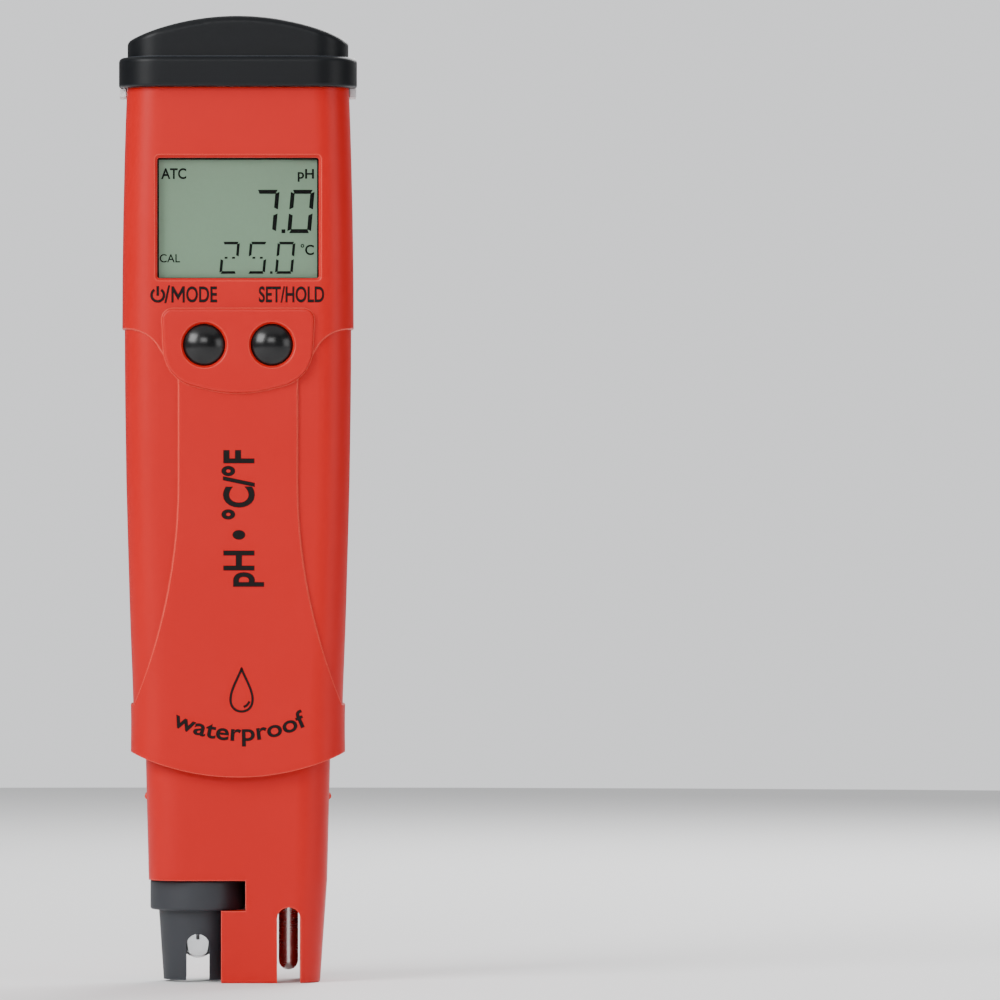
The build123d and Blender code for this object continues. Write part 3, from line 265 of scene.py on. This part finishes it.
def clear_lens():
    """Clear plastic: see-through from the front, and a mirror at a steep slant."""
    finish = Finish("clear_lens", Metallic=1.0, Roughness=0.08, Base_Color=(1, 1, 1, 1))
    gloss = Value(finish, finish.shader.outputs[0])
    clear = finish.node("ShaderNodeBsdfTransparent")
    facing = finish.node("ShaderNodeFresnel", sockets={"IOR": 1.3})
    dust = finish.noise(900, 3)
    share = facing * (0.7 + dust * 0.2)
    mixed = finish.node("ShaderNodeMixShader", sockets={0: share, 1: clear, 2: gloss})
    surface = finish.tree.nodes["Material Output"].inputs["Surface"]
    finish.tree.links.new(mixed.socket, surface)
    return finish


dress(["display_window"], clear_lens())


# ---- the liquid crystal display
# Two sheets of glass with grey-green liquid crystal between them. Its lit segments are
# near black: a large reading, a smaller temperature, and printed-looking legends.

def crystal_glass():
    """Grey-green display background, with painted light: a little lighter and greener towards its
    foot.
    """
    finish = Finish("crystal_glass", IOR=1.5)
    height = finish.node("ShaderNodeSeparateXYZ", sockets={"Vector": finish.place()}, output="Z")
    low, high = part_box("lcd_panel")
    share = (high.z - height) * (1 / (high.z - low.z))
    fibre = finish.noise(2400, 2)
    # Painted light: the background is drawn darker towards its top and lighter towards its foot.
    ground = finish.blend(share, shade(116, 144, 118), shade(122, 154, 126))
    colour = finish.blend(fibre * 0.12, ground, shade(150, 174, 148))
    rough = 0.3 + fibre * 0.1
    normal = finish.bump(fibre, 0.002 * MM, 0.3)
    return finish.drive(Base_Color=colour, Roughness=rough, Normal=normal)


def segment_ink():
    """The dark of a lit segment, uneven where the crystal is thin."""
    finish = Finish("segment_ink", Specular_IOR_Level=0.05)
    patches = finish.noise(1500, 2)
    colour = finish.blend(patches, shade(5, 6, 5), shade(12, 13, 12))
    return finish.drive(Base_Color=colour, Roughness=0.3 + patches * 0.15)


def prism(mesh, outline, front, back):
    """Adds a closed flat shape in X and Z, between two depths."""
    loop_front = [mesh.verts.new((x, front, z)) for x, z in outline]
    loop_back = [mesh.verts.new((x, back, z)) for x, z in outline]
    mesh.faces.new(loop_front)
    mesh.faces.new(loop_back[::-1])
    count = len(outline)
    for i in range(count):
        j = (i + 1) % count
        mesh.faces.new((loop_front[j], loop_front[i], loop_back[i], loop_back[j]))


def finished(mesh, name, finish, body):
    """Turns a bmesh into a piece with its normals outwards, riding a body."""
    bmesh.ops.recalc_face_normals(mesh, faces=mesh.faces)
    data = bpy.data.meshes.new(name)
    mesh.to_mesh(data)
    mesh.free()
    piece = bpy.data.objects.new(name, data)
    bpy.context.collection.objects.link(piece)
    data.materials.append(finish.material)
    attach(piece, body)


SEGMENTS = {"2": "abged", "5": "afgcd", "7": "abc", "0": "abcdef"}


def segment_outline(letter, wide, tall, bar):
    """One of the seven bars of a digit, with cut ends; the middle one is two dashes."""
    half = tall / 2
    if letter == "g":
        dash_half, dash_rise = bar * 0.55, bar * 0.35
        low, high = half - dash_rise, half + dash_rise
        dashes = []
        for centre in (wide * 0.3, wide * 0.72):
            left, right = centre - dash_half, centre + dash_half
            dashes.append([(left, low), (right, low), (right, high), (left, high)])
        return dashes
    bars = {
        "a": ((0, tall), (wide, tall), 0, -1),
        "d": ((0, 0), (wide, 0), 0, 1),
        "f": ((0, half), (0, tall), 1, 0),
        "b": ((wide, half), (wide, tall), -1, 0),
        "e": ((0, 0), (0, half), 1, 0),
        "c": ((wide, 0), (wide, half), -1, 0),
    }
    (x0, z0), (x1, z1), inward_x, inward_z = bars[letter]
    along_x, along_z = (1, 0) if z0 == z1 else (0, 1)
    gap, cut = bar * 0.5, bar * 0.45
    start = (x0 + along_x * gap, z0 + along_z * gap)
    end = (x1 - along_x * gap, z1 - along_z * gap)
    step_x, step_z = inward_x * bar, inward_z * bar
    inner_start = (start[0] + step_x + along_x * cut, start[1] + step_z + along_z * cut)
    inner_end = (end[0] + step_x - along_x * cut, end[1] + step_z - along_z * cut)
    return [[start, end, inner_end, inner_start]]


def write_digits(mesh, words, right, low, wide, tall, bar, pitch, slant, front, back):
    """Writes a number ending at its right-hand side, in slanted seven-bar digits."""
    x = right - wide
    for letter in reversed(words):
        if letter == ".":
            dot = bar * 0.95
            left = x + pitch - (pitch - wide) / 2 - dot / 2
            corners = [(0, 0), (dot, 0), (dot, dot), (0, dot)]
            prism(mesh, [(left + a, low + b) for a, b in corners], front, back)
            continue
        for segment in SEGMENTS[letter]:
            for outline in segment_outline(segment, wide, tall, bar):
                turned = [(x + a + slant * (b - tall / 2), low + b) for a, b in outline]
                prism(mesh, turned, front, back)
        x -= pitch


def lettering(words, wide, tall, bolder=0.0, thick=0.02 * MM):
    """Words as a mesh, fitted to a width and a height, from its lower left corner."""
    curve = bpy.data.curves.new("lettering", "FONT")
    curve.body = words
    curve.offset = bolder
    curve.extrude = 0.5
    curve.resolution_u = 5
    holder = bpy.data.objects.new("lettering", curve)
    bpy.context.collection.objects.link(holder)
    bpy.context.view_layer.update()
    graph = bpy.context.evaluated_depsgraph_get()
    data = bpy.data.meshes.new_from_object(holder.evaluated_get(graph))
    bpy.data.objects.remove(holder)
    bpy.data.curves.remove(curve)
    mesh = bmesh.new()
    mesh.from_mesh(data)
    bpy.data.meshes.remove(data)
    weld = 1e-4
    bmesh.ops.remove_doubles(mesh, verts=mesh.verts, dist=weld)
    xs = [v.co.x for v in mesh.verts]
    ys = [v.co.y for v in mesh.verts]
    left, foot = min(xs), min(ys)
    across = wide / (max(xs) - left)
    up = tall / (max(ys) - foot)
    for v in mesh.verts:
        v.co = Vector(((v.co.x - left) * across, -v.co.z * thick, (v.co.y - foot) * up))
    return mesh


def joined(meshes):
    """Several bmeshes as one."""
    whole = bmesh.new()
    for mesh in meshes:
        data = bpy.data.meshes.new("join")
        mesh.to_mesh(data)
        mesh.free()
        whole.from_mesh(data)
        bpy.data.meshes.remove(data)
    return whole


def moved(mesh, x=0, y=0, z=0):
    """The same bmesh, shifted."""
    bmesh.ops.translate(mesh, verts=mesh.verts, vec=(x, y, z))
    return mesh


panel_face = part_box("lcd_panel")[0].y
ink_thick = 0.03 * MM
ink_front = panel_face - ink_thick
window_low, window_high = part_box("display_window")
window_mid = (window_low.z + window_high.z) / 2
digit_slant = 0.09

ink_finish = segment_ink()
dress(["lcd_panel"], crystal_glass())

reading = bmesh.new()
write_digits(
    reading, "7.0", right=12.6 * MM, low=window_mid - 2.5 * MM, wide=4.0 * MM, tall=7.3 * MM,
    bar=0.68 * MM, pitch=5.9 * MM, slant=digit_slant, front=ink_front, back=panel_face,
)
finished(reading, "lcd_reading", ink_finish, "root")

temperature = bmesh.new()
write_digits(
    temperature, "25.0", right=9.45 * MM, low=window_mid - 9.35 * MM, wide=3.0 * MM,
    tall=5.4 * MM, bar=0.45 * MM, pitch=4.68 * MM, slant=digit_slant, front=ink_front,
    back=panel_face,
)
finished(temperature, "lcd_temperature", ink_finish, "root")

# A thin black frame is drawn behind the lens round the opening, half as high along its foot:
# painted shadow, where the walls of the recess shade the display. The lens laps the opening
# by a millimetre all round.
lens_lap = 1.0 * MM
half_wide = (window_high.x - window_low.x) / 2 - lens_lap
half_tall = (window_high.z - window_low.z) / 2 - lens_lap
border = 0.28 * MM
border_front = window_high.y + 0.01 * MM
border_back = border_front + 0.03 * MM
painted_shadow_frame = bmesh.new()
for x_low, x_high, z_low, z_high in (
    (-half_wide, half_wide, half_tall - border, half_tall),
    (-half_wide, half_wide, -half_tall, -half_tall + border / 2),
    (-half_wide, -half_wide + border, -half_tall, half_tall),
    (half_wide - border, half_wide, -half_tall, half_tall),
):
    corners = [(x_low, z_low), (x_high, z_low), (x_high, z_high), (x_low, z_high)]
    placed = [(x, window_mid + z) for x, z in corners]
    prism(painted_shadow_frame, placed, border_front, border_back)
finished(painted_shadow_frame, "lens_painted_shadow", ink_finish, "root")

# Each legend's words, its left and lower edge from the window's middle, its width and
# height, all in millimetres, and how much bolder it is.
legends = []
for words, left, low, wide, tall, bolder in (
    ("ATC", -12.95, 6.6, 4.25, 1.85, 0.022),
    ("pH", 10.05, 6.15, 2.75, 2.15, 0.022),
    ("CAL", -13.2, -7.45, 3.45, 1.42, 0.008),
    ("C", 11.3, -6.2, 1.5, 1.75, 0.02),
    ("o", 10.55, -4.95, 0.62, 0.62, 0.03),
):
    legend = lettering(words, wide * MM, tall * MM, bolder)
    legends.append(moved(legend, left * MM, panel_face - ink_thick / 2, window_mid + low * MM))
finished(joined(legends), "lcd_legends", ink_finish, "root")


# ---- the printing on the body
# Black pad-printed words and signs, a few hundredths of a millimetre thick, which follow
# the curve of the front.

def print_ink():
    """Black print with pinholes where the grain below shows."""
    finish = Finish("print_ink", Specular_IOR_Level=0.15)
    pores = finish.noise(3800, 2)
    colour = finish.blend(pores, shade(10, 6, 6), shade(18, 10, 10))
    return finish.drive(Base_Color=colour, Roughness=0.38 + pores * 0.2)


print_half = 0.02 * MM     # half of a sign's thickness
print_stand = 0.012 * MM   # how far the print's middle stands off the body
shell = bmesh.new()
shell.from_mesh(nodes["body_shell"].data)
front_tree = BVHTree.FromBMesh(shell)
shell.free()


def laid_on_front(mesh):
    """Presses a flat mesh onto the front of the body, keeping its own thickness."""
    clear_of_front = cad_low.y - 10 * MM
    for v in mesh.verts:
        start = Vector((v.co.x, clear_of_front, v.co.z))
        hit = front_tree.ray_cast(start, Vector((0, 1, 0)))[0]
        v.co.y += hit.y - print_stand
    return mesh


def band(mesh, outline, wide, closed):
    """A line of one width along points in X and Z."""
    count = len(outline)
    spans = count if closed else count - 1
    sides = []
    for i, (x, z) in enumerate(outline):
        before = outline[i - 1] if closed or i > 0 else outline[i]
        after = outline[(i + 1) % count] if closed or i < count - 1 else outline[i]
        way = Vector((after[0] - before[0], after[1] - before[1])).normalized()
        across = Vector((-way.y, way.x)) * wide / 2
        sides.append(((x + across.x, z + across.y), (x - across.x, z - across.y)))
    depths = (-print_half, print_half)
    rings = [[mesh.verts.new((x, y, z)) for y in depths for x, z in pair] for pair in sides]
    for i in range(spans):
        a, b = rings[i], rings[(i + 1) % count]
        for first, second in ((0, 1), (1, 3), (3, 2), (2, 0)):
            mesh.faces.new((a[first], a[second], b[second], b[first]))
    if not closed:
        for ring in (rings[0], rings[-1]):
            mesh.faces.new((ring[0], ring[1], ring[3], ring[2]))


def power_sign(centre_x, centre_z, radius, wide):
    """An open ring with an upright bar through its gap."""
    mesh = bmesh.new()
    gap = math.radians(32)
    steps = 32
    ring = []
    for i in range(steps + 1):
        turn = math.pi / 2 + gap + (2 * math.pi - 2 * gap) * i / steps
        ring.append((centre_x + radius * math.cos(turn), centre_z + radius * math.sin(turn)))
    band(mesh, ring, wide, False)
    bar = [(centre_x, centre_z + radius * 1.45), (centre_x, centre_z - radius * 0.1)]
    band(mesh, bar, wide, False)
    return mesh


def drop_sign(centre_x, low, wide, tall, line):
    """A falling drop in outline, with a small curved glint inside."""
    mesh = bmesh.new()
    round_radius = wide / 2
    steps, pointed, fuller = 64, 1.6, 1.25
    outline = []
    for i in range(steps):
        turn = 2 * math.pi * i / steps
        swell = fuller * math.sin(turn / 2) ** pointed
        x = centre_x + round_radius * math.sin(turn) * swell
        z = low + tall * (0.5 + 0.5 * math.cos(turn))
        outline.append((x, z))
    band(mesh, outline, line, True)
    glint_steps, glint_from, glint_sweep = 8, -75, 60
    glint_reach = round_radius * 0.62
    glint_mid = low + wide * 0.48
    glint = []
    for i in range(glint_steps + 1):
        turn = math.radians(glint_from + glint_sweep * i / glint_steps)
        x = centre_x + glint_reach * math.cos(turn)
        glint.append((x, glint_mid + glint_reach * math.sin(turn)))
    band(mesh, glint, line, False)
    return mesh


def on_arc(mesh, radius, low):
    """Bends a line of words into a smile about a point above it."""
    xs = [v.co.x for v in mesh.verts]
    middle = (max(xs) + min(xs)) / 2
    for v in mesh.verts:
        turn = (v.co.x - middle) / radius
        reach = radius - v.co.z
        v.co.x = math.sin(turn) * reach
        v.co.z = low + radius - math.cos(turn) * reach
    return mesh


ink = print_ink()
label_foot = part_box("mode_button")[0].z + 11.4 * MM
label_tall = 2.75 * MM
label_bold = 0.022

sign = power_sign(
    centre_x=-13.5 * MM, centre_z=label_foot + 1.25 * MM, radius=1.05 * MM, wide=0.44 * MM
)
slash = lettering("/", wide=1.0 * MM, tall=3.0 * MM, bolder=label_bold)
moved(slash, x=-12.4 * MM, z=label_foot - 0.1 * MM)

# The M is drawn as one outline, because the built-in letter fills in when it is bolder.
# Its heights are shares of the label's height.
stroke = 0.38 * MM
m_left, m_right = -11.2 * MM, -8.95 * MM
m_mid = (m_left + m_right) / 2
in_left, in_right = m_left + stroke, m_right - stroke
notch, shoulder, valley = 0.5, 0.62, 0.14
m_outline = [
    (m_left, 0), (m_left, 1), (in_left, 1), (m_mid, notch), (in_right, 1), (m_right, 1),
    (m_right, 0), (in_right, 0), (in_right, shoulder), (m_mid, valley), (in_left, shoulder),
    (in_left, 0),
]
letter_m = bmesh.new()
m_placed = [(x, label_foot + up * label_tall) for x, up in m_outline]
prism(letter_m, m_placed, -print_half, print_half)
letters_ode = lettering("ODE", wide=5.2 * MM, tall=label_tall, bolder=label_bold)
moved(letters_ode, x=-8.72 * MM, z=label_foot)
label = joined([slash, letter_m, letters_ode, sign])
finished(laid_on_front(label), "print_mode", ink, "root")

label = lettering("SET/HOLD", wide=11.0 * MM, tall=label_tall, bolder=label_bold)
moved(label, x=3.5 * MM, z=label_foot)
finished(laid_on_front(label), "print_hold", ink, "root")

units = lettering("pH • °C/°F", wide=23.0 * MM, tall=7.2 * MM, bolder=0.03)
upright = Matrix.Rotation(-math.pi / 2, 3, "Y")
bmesh.ops.rotate(units, verts=units.verts, cent=(0, 0, 0), matrix=upright)
moved(units, x=4.4 * MM, z=66.9 * MM)
finished(laid_on_front(units), "print_units", ink, "root")

word = lettering("waterproof", wide=24.8 * MM, tall=3.9 * MM, bolder=0.02)
moved(on_arc(word, radius=27.0 * MM, low=40.0 * MM), x=0.3 * MM)
drop = drop_sign(centre_x=0.6 * MM, low=45.9 * MM, wide=4.3 * MM, tall=7.3 * MM, line=0.4 * MM)
finished(laid_on_front(joined([word, drop])), "print_waterproof", ink, "root")


# ---- the electrode
# A slate-grey moulded barrel with a collar and a slotted guard. A blown glass bulb on a
# stem sits inside the guard, with a silver wire in it; a cloth wick wets the gel.

def slate_plastic():
    """Matte slate-grey plastic, a little scuffed, with a painted highlight along its edges."""
    finish = Finish("slate_plastic", IOR=1.48)
    rounded = finish.soft_edges(0.25 * MM)
    edge_highlight = finish.edge_mask(rounded)
    clouds = finish.noise(160, 4)
    body = finish.blend(clouds, shade(30, 33, 38), shade(40, 43, 49))
    # Painted highlight: the edges are drawn paler, where their rounding would catch the light.
    colour = finish.blend(edge_highlight * 0.4, body, shade(84, 88, 96))
    grain = finish.noise(4600, 2)
    rough = 0.46 + clouds * 0.18
    normal = finish.bump(grain, 0.008 * MM, 0.7, rounded)
    return finish.drive(Base_Color=colour, Roughness=rough, Normal=normal)


def blown_glass():
    """Thin clear glass, slightly milky."""
    finish = Finish("blown_glass", IOR=1.15, Transmission_Weight=0.9)
    film = finish.noise(500, 3)
    colour = finish.blend(film, shade(240, 243, 245), shade(252, 253, 253))
    return finish.drive(Base_Color=colour, Roughness=0.05 + film * 0.07)


def drawn_silver():
    """Dull silver wire with a grey coating."""
    finish = Finish("drawn_silver", Metallic=0.9)
    coat = finish.noise(1800, 3)
    colour = finish.blend(coat, shade(110, 108, 112), shade(168, 166, 165))
    return finish.drive(Base_Color=colour, Roughness=0.35 + coat * 0.2)


def woven_cloth():
    """Off-white wick cloth with a fine crossed weave."""
    finish = Finish("wick_cloth")
    weft = finish.noise(4000, 1, (1, 1, 6))
    colour = finish.blend(weft, shade(205, 198, 182), shade(232, 227, 214))
    normal = finish.bump(weft, 0.03 * MM)
    return finish.drive(Base_Color=colour, Roughness=0.85 + weft * 0.1, Normal=normal)


def plated_gold():
    """Thin gold plate over brass."""
    finish = Finish("plated_gold", Metallic=1.0)
    marks = finish.noise(1200, 3)
    colour = finish.blend(marks, shade(206, 166, 84), shade(230, 192, 112))
    return finish.drive(Base_Color=colour, Roughness=0.2 + marks * 0.15)


def black_rubber():
    """Matte black rubber with a dusty bloom."""
    finish = Finish("black_rubber", IOR=1.5)
    bloom = finish.noise(800, 4)
    colour = finish.blend(bloom, shade(24, 24, 25), shade(40, 40, 42))
    return finish.drive(Base_Color=colour, Roughness=0.6 + bloom * 0.25)


dress(["electrode_body", "electrode_plug"], slate_plastic())
dress(["electrode_glass"], blown_glass())
dress(["electrode_inner_wire", "reference_wire", "thermistor_leads"], drawn_silver())
dress(["electrode_junction"], woven_cloth())
dress(["electrode_contacts", "socket_pins"], plated_gold())
dress(["electrode_orings", "housing_oring", "temperature_grommet"], black_rubber())


# ---- the parts on the board
# A green varnished board slides in the body's rails. The chips are black epoxy with
# rows of tinned legs; the cells are nickel-plated cans in a white moulded carrier.

def board_laminate():
    """Green varnish over a faint glass weave."""
    finish = Finish("board_laminate", IOR=1.52, Coat_Weight=0.4)
    weave = finish.noise(2600, 1, (1, 1, 3))
    colour = finish.blend(weave, shade(18, 74, 44), shade(28, 96, 56))
    normal = finish.bump(weave, 0.008 * MM, 0.5)
    return finish.drive(Base_Color=colour, Roughness=0.3 + weave * 0.15, Normal=normal)


def chip_epoxy():
    """Matte black epoxy."""
    finish = Finish("chip_epoxy")
    dust = finish.noise(3000, 3)
    colour = finish.blend(dust, shade(26, 26, 28), shade(44, 44, 46))
    return finish.drive(Base_Color=colour, Roughness=0.55 + dust * 0.2)


def white_plastic():
    """Plain white moulded plastic, slightly warm."""
    finish = Finish("white_plastic", IOR=1.5)
    clouds = finish.noise(200, 3)
    rounded = finish.soft_edges(0.15 * MM)
    colour = finish.blend(clouds, shade(222, 220, 212), shade(238, 236, 229))
    return finish.drive(Base_Color=colour, Roughness=0.4 + clouds * 0.15, Normal=rounded)


def grey_silicone():
    """Grey silicone rubber."""
    finish = Finish("grey_silicone")
    clouds = finish.noise(900, 3)
    colour = finish.blend(clouds, shade(112, 114, 116), shade(136, 138, 140))
    return finish.drive(Base_Color=colour, Roughness=0.6 + clouds * 0.2)


def striped_rubber():
    """Rubber with fine dark conducting stripes across its length."""
    finish = Finish("striped_rubber")
    bands = {"wave_type": "BANDS", "bands_direction": "X"}
    stripes = finish.node("ShaderNodeTexWave", bands, {"Vector": finish.place(), "Scale": 1200.0})
    colour = finish.blend(stripes, shade(30, 30, 32), shade(196, 150, 120))
    return finish.drive(Base_Color=colour, Roughness=0.5 + stripes * 0.15)


def ribbon_film():
    """Amber film with a slight sheen."""
    finish = Finish("ribbon_film", IOR=1.6)
    waves = finish.noise(700, 2)
    colour = finish.blend(waves, shade(176, 118, 40), shade(198, 140, 58))
    return finish.drive(Base_Color=colour, Roughness=0.25 + waves * 0.15)


tinned = plated_steel()
tinned.material.name = "tinned_leg"
dress(["main_board"], board_laminate())
chip_finish = chip_epoxy()
dress(["controller_chip", "board_components", "mode_switch", "hold_switch"], chip_finish)
dress(["thermistor"], chip_finish)
dress(["lcd_holder", "battery_carrier"], white_plastic())
dress(["keypad_seal"], grey_silicone())
dress(["zebra_strips"], striped_rubber())
dress(["probe_ribbon"], ribbon_film())
dress([name for name in nodes if name.startswith("battery_cell")], steel_finish)

# A plus sign is stamped on the flat end of the left stack's upper cell.
cell_low, cell_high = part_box("battery_cell_left_upper")
cell_x = (cell_low.x + cell_high.x) / 2
cell_y = (cell_low.y + cell_high.y) / 2
arm_long, arm_wide, stamp_thick = 3.4 * MM, 0.5 * MM, 0.03 * MM
stamp = bmesh.new()
for size_x, size_y in ((arm_long, arm_wide), (arm_wide, arm_long)):
    size = Matrix.Diagonal((size_x, size_y, stamp_thick, 1))
    bmesh.ops.create_cube(stamp, size=1.0, matrix=size)
bmesh.ops.translate(stamp, verts=stamp.verts, vec=(cell_x, cell_y, cell_high.z))
finished(stamp, "cell_plus_sign", chip_finish, "root")


def leg_rows(name, low, high, count, leg, finish):
    """Two rows of legs beside a chip, grown by Geometry Nodes along each side."""
    tree = bpy.data.node_groups.new(name, "GeometryNodeTree")
    kinds = {"Count": "Int", "Pitch": "Float", "Start": "Vector", "Across": "Vector", "Leg": "Vector"}
    for label, kind in kinds.items():
        tree.interface.new_socket(label, in_out="INPUT", socket_type="NodeSocket" + kind)
    tree.interface.new_socket("Geometry", in_out="OUTPUT", socket_type="NodeSocketGeometry")
    given = tree.nodes.new("NodeGroupInput")
    result = tree.nodes.new("NodeGroupOutput")

    def add(kind, **links):
        made = tree.nodes.new(kind)
        for key, source in links.items():
            tree.links.new(source, made.inputs[key.replace("_", " ")])
        return made

    step = add("ShaderNodeCombineXYZ", Z=given.outputs["Pitch"])
    line = add(
        "GeometryNodeMeshLine",
        Count=given.outputs["Count"],
        Start_Location=given.outputs["Start"],
        Offset=step.outputs[0],
    )
    across = given.outputs["Across"]
    other = add("GeometryNodeTransform", Geometry=line.outputs[0], Translation=across)
    both = tree.nodes.new("GeometryNodeJoinGeometry")
    tree.links.new(line.outputs[0], both.inputs[0])
    tree.links.new(other.outputs[0], both.inputs[0])
    shape = add("GeometryNodeMeshCube", Size=given.outputs["Leg"])
    grown = add("GeometryNodeInstanceOnPoints", Points=both.outputs[0], Instance=shape.outputs[0])
    real = add("GeometryNodeRealizeInstances", Geometry=grown.outputs[0])
    painted = add("GeometryNodeSetMaterial", Geometry=real.outputs[0])
    painted.inputs["Material"].default_value = finish.material
    tree.links.new(painted.outputs[0], result.inputs[0])

    pitch = (high.z - low.z) / (count + 1)
    inputs = {
        "Count": count,
        "Pitch": pitch,
        "Start": (low.x - leg[0] / 2, high.y - leg[1] / 2, low.z + pitch),
        "Across": (high.x - low.x + leg[0], 0, 0),
        "Leg": leg,
    }
    holder = bpy.data.objects.new(name, bpy.data.meshes.new(name + "_seed"))
    bpy.context.collection.objects.link(holder)
    grow = holder.modifiers.new("legs", "NODES")
    grow.node_group = tree
    for item in tree.interface.items_tree:
        if item.in_out == "INPUT":
            grow[item.identifier] = inputs[item.name]
    graph = bpy.context.evaluated_depsgraph_get()
    plain = bpy.data.meshes.new_from_object(holder.evaluated_get(graph))
    holder.modifiers.remove(grow)
    holder.data = plain
    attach(holder, "root")


chip_low, chip_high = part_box("controller_chip")
board_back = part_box("main_board")[1].y
leg_size = (0.9 * MM, 0.25 * MM, 0.35 * MM)
foot_low = Vector((chip_low.x, board_back, chip_low.z))
foot_high = Vector((chip_high.x, board_back + leg_size[1], chip_high.z))
leg_rows("controller_legs", foot_low, foot_high, count=12, leg=leg_size, finish=tinned)


# ---- the studio
# A pale round floor and a pale sky, under soft lamps: the key on the left, a weaker one on
# the right, one high in front, one behind, and a wide one far overhead.

def pale_floor():
    """Matte near-white board."""
    finish = Finish("pale_floor", Roughness=0.7)
    mist = finish.noise(3, 2)
    colour = finish.blend(mist, (0.86, 0.86, 0.865, 1), (0.9, 0.9, 0.905, 1))
    return finish.drive(Base_Color=colour)


floor_radius = 0.95
floor = bmesh.new()
bmesh.ops.create_circle(floor, cap_ends=True, segments=96, radius=floor_radius)
floor_data = bpy.data.meshes.new("floor")
floor.to_mesh(floor_data)
floor.free()
floor_data.materials.append(pale_floor().material)
floor_piece = bpy.data.objects.new("floor", floor_data)
bpy.context.collection.objects.link(floor_piece)

world = bpy.data.worlds.new("studio")
bpy.context.scene.world = world
world.use_nodes = True
glow = world.node_tree.nodes["Background"]
glow.inputs["Color"].default_value = (0.97, 0.98, 1.0, 1)
# The sky lights the meter weakly, but looks pale to the camera.
sky_lighting, sky_seen = 0.24, 1.1
rays = world.node_tree.nodes.new("ShaderNodeLightPath")
strength = world.node_tree.nodes.new("ShaderNodeMix")
strength.inputs["A"].default_value = sky_lighting
strength.inputs["B"].default_value = sky_seen
world.node_tree.links.new(rays.outputs["Is Camera Ray"], strength.inputs["Factor"])
world.node_tree.links.new(strength.outputs["Result"], glow.inputs["Strength"])

middle = Vector((0, 0, (cad_low.z + cad_high.z) / 2))
# Each lamp's name, place in metres, width, height and power in watts.
for name, place, lamp_wide, lamp_high, power in (
    ("key_lamp", (-0.45, -0.40, 0.40), 0.34, 0.34, 4.8),
    ("fill_lamp", (0.60, -0.35, 0.20), 0.30, 0.30, 0.9),
    ("front_lamp", (-0.05, -1.10, 0.50), 0.50, 0.30, 3.6),
    ("back_lamp", (0.25, 0.50, 0.45), 0.40, 0.40, 4.5),
    ("ceiling_lamp", (0, 0, 2.60), 5.0, 5.0, 60.0),
):
    data = bpy.data.lights.new(name, "AREA")
    data.shape = "RECTANGLE"
    data.size = lamp_wide
    data.size_y = lamp_high
    data.energy = power
    holder = bpy.data.objects.new(name, data)
    holder.location = place
    holder.rotation_mode = "QUATERNION"
    holder.rotation_quaternion = (middle - Vector(place)).to_track_quat("-Z", "Y")
    holder.visible_camera = False
    bpy.context.collection.objects.link(holder)

height_seen = 168.0 * MM
room_below = 2.5 * MM
camera_data = bpy.data.cameras.new("camera")
camera_data.lens = 300.0
camera_data.sensor_width = 36.0
camera_data.shift_x = 0.262
camera = bpy.data.objects.new("camera", camera_data)
distance = camera_data.lens * height_seen / camera_data.sensor_width
camera.location = (0, cad_low.y - distance, height_seen / 2 - room_below)
camera.rotation_euler = (math.pi / 2, 0, 0)
bpy.context.collection.objects.link(camera)
bpy.context.scene.camera = camera
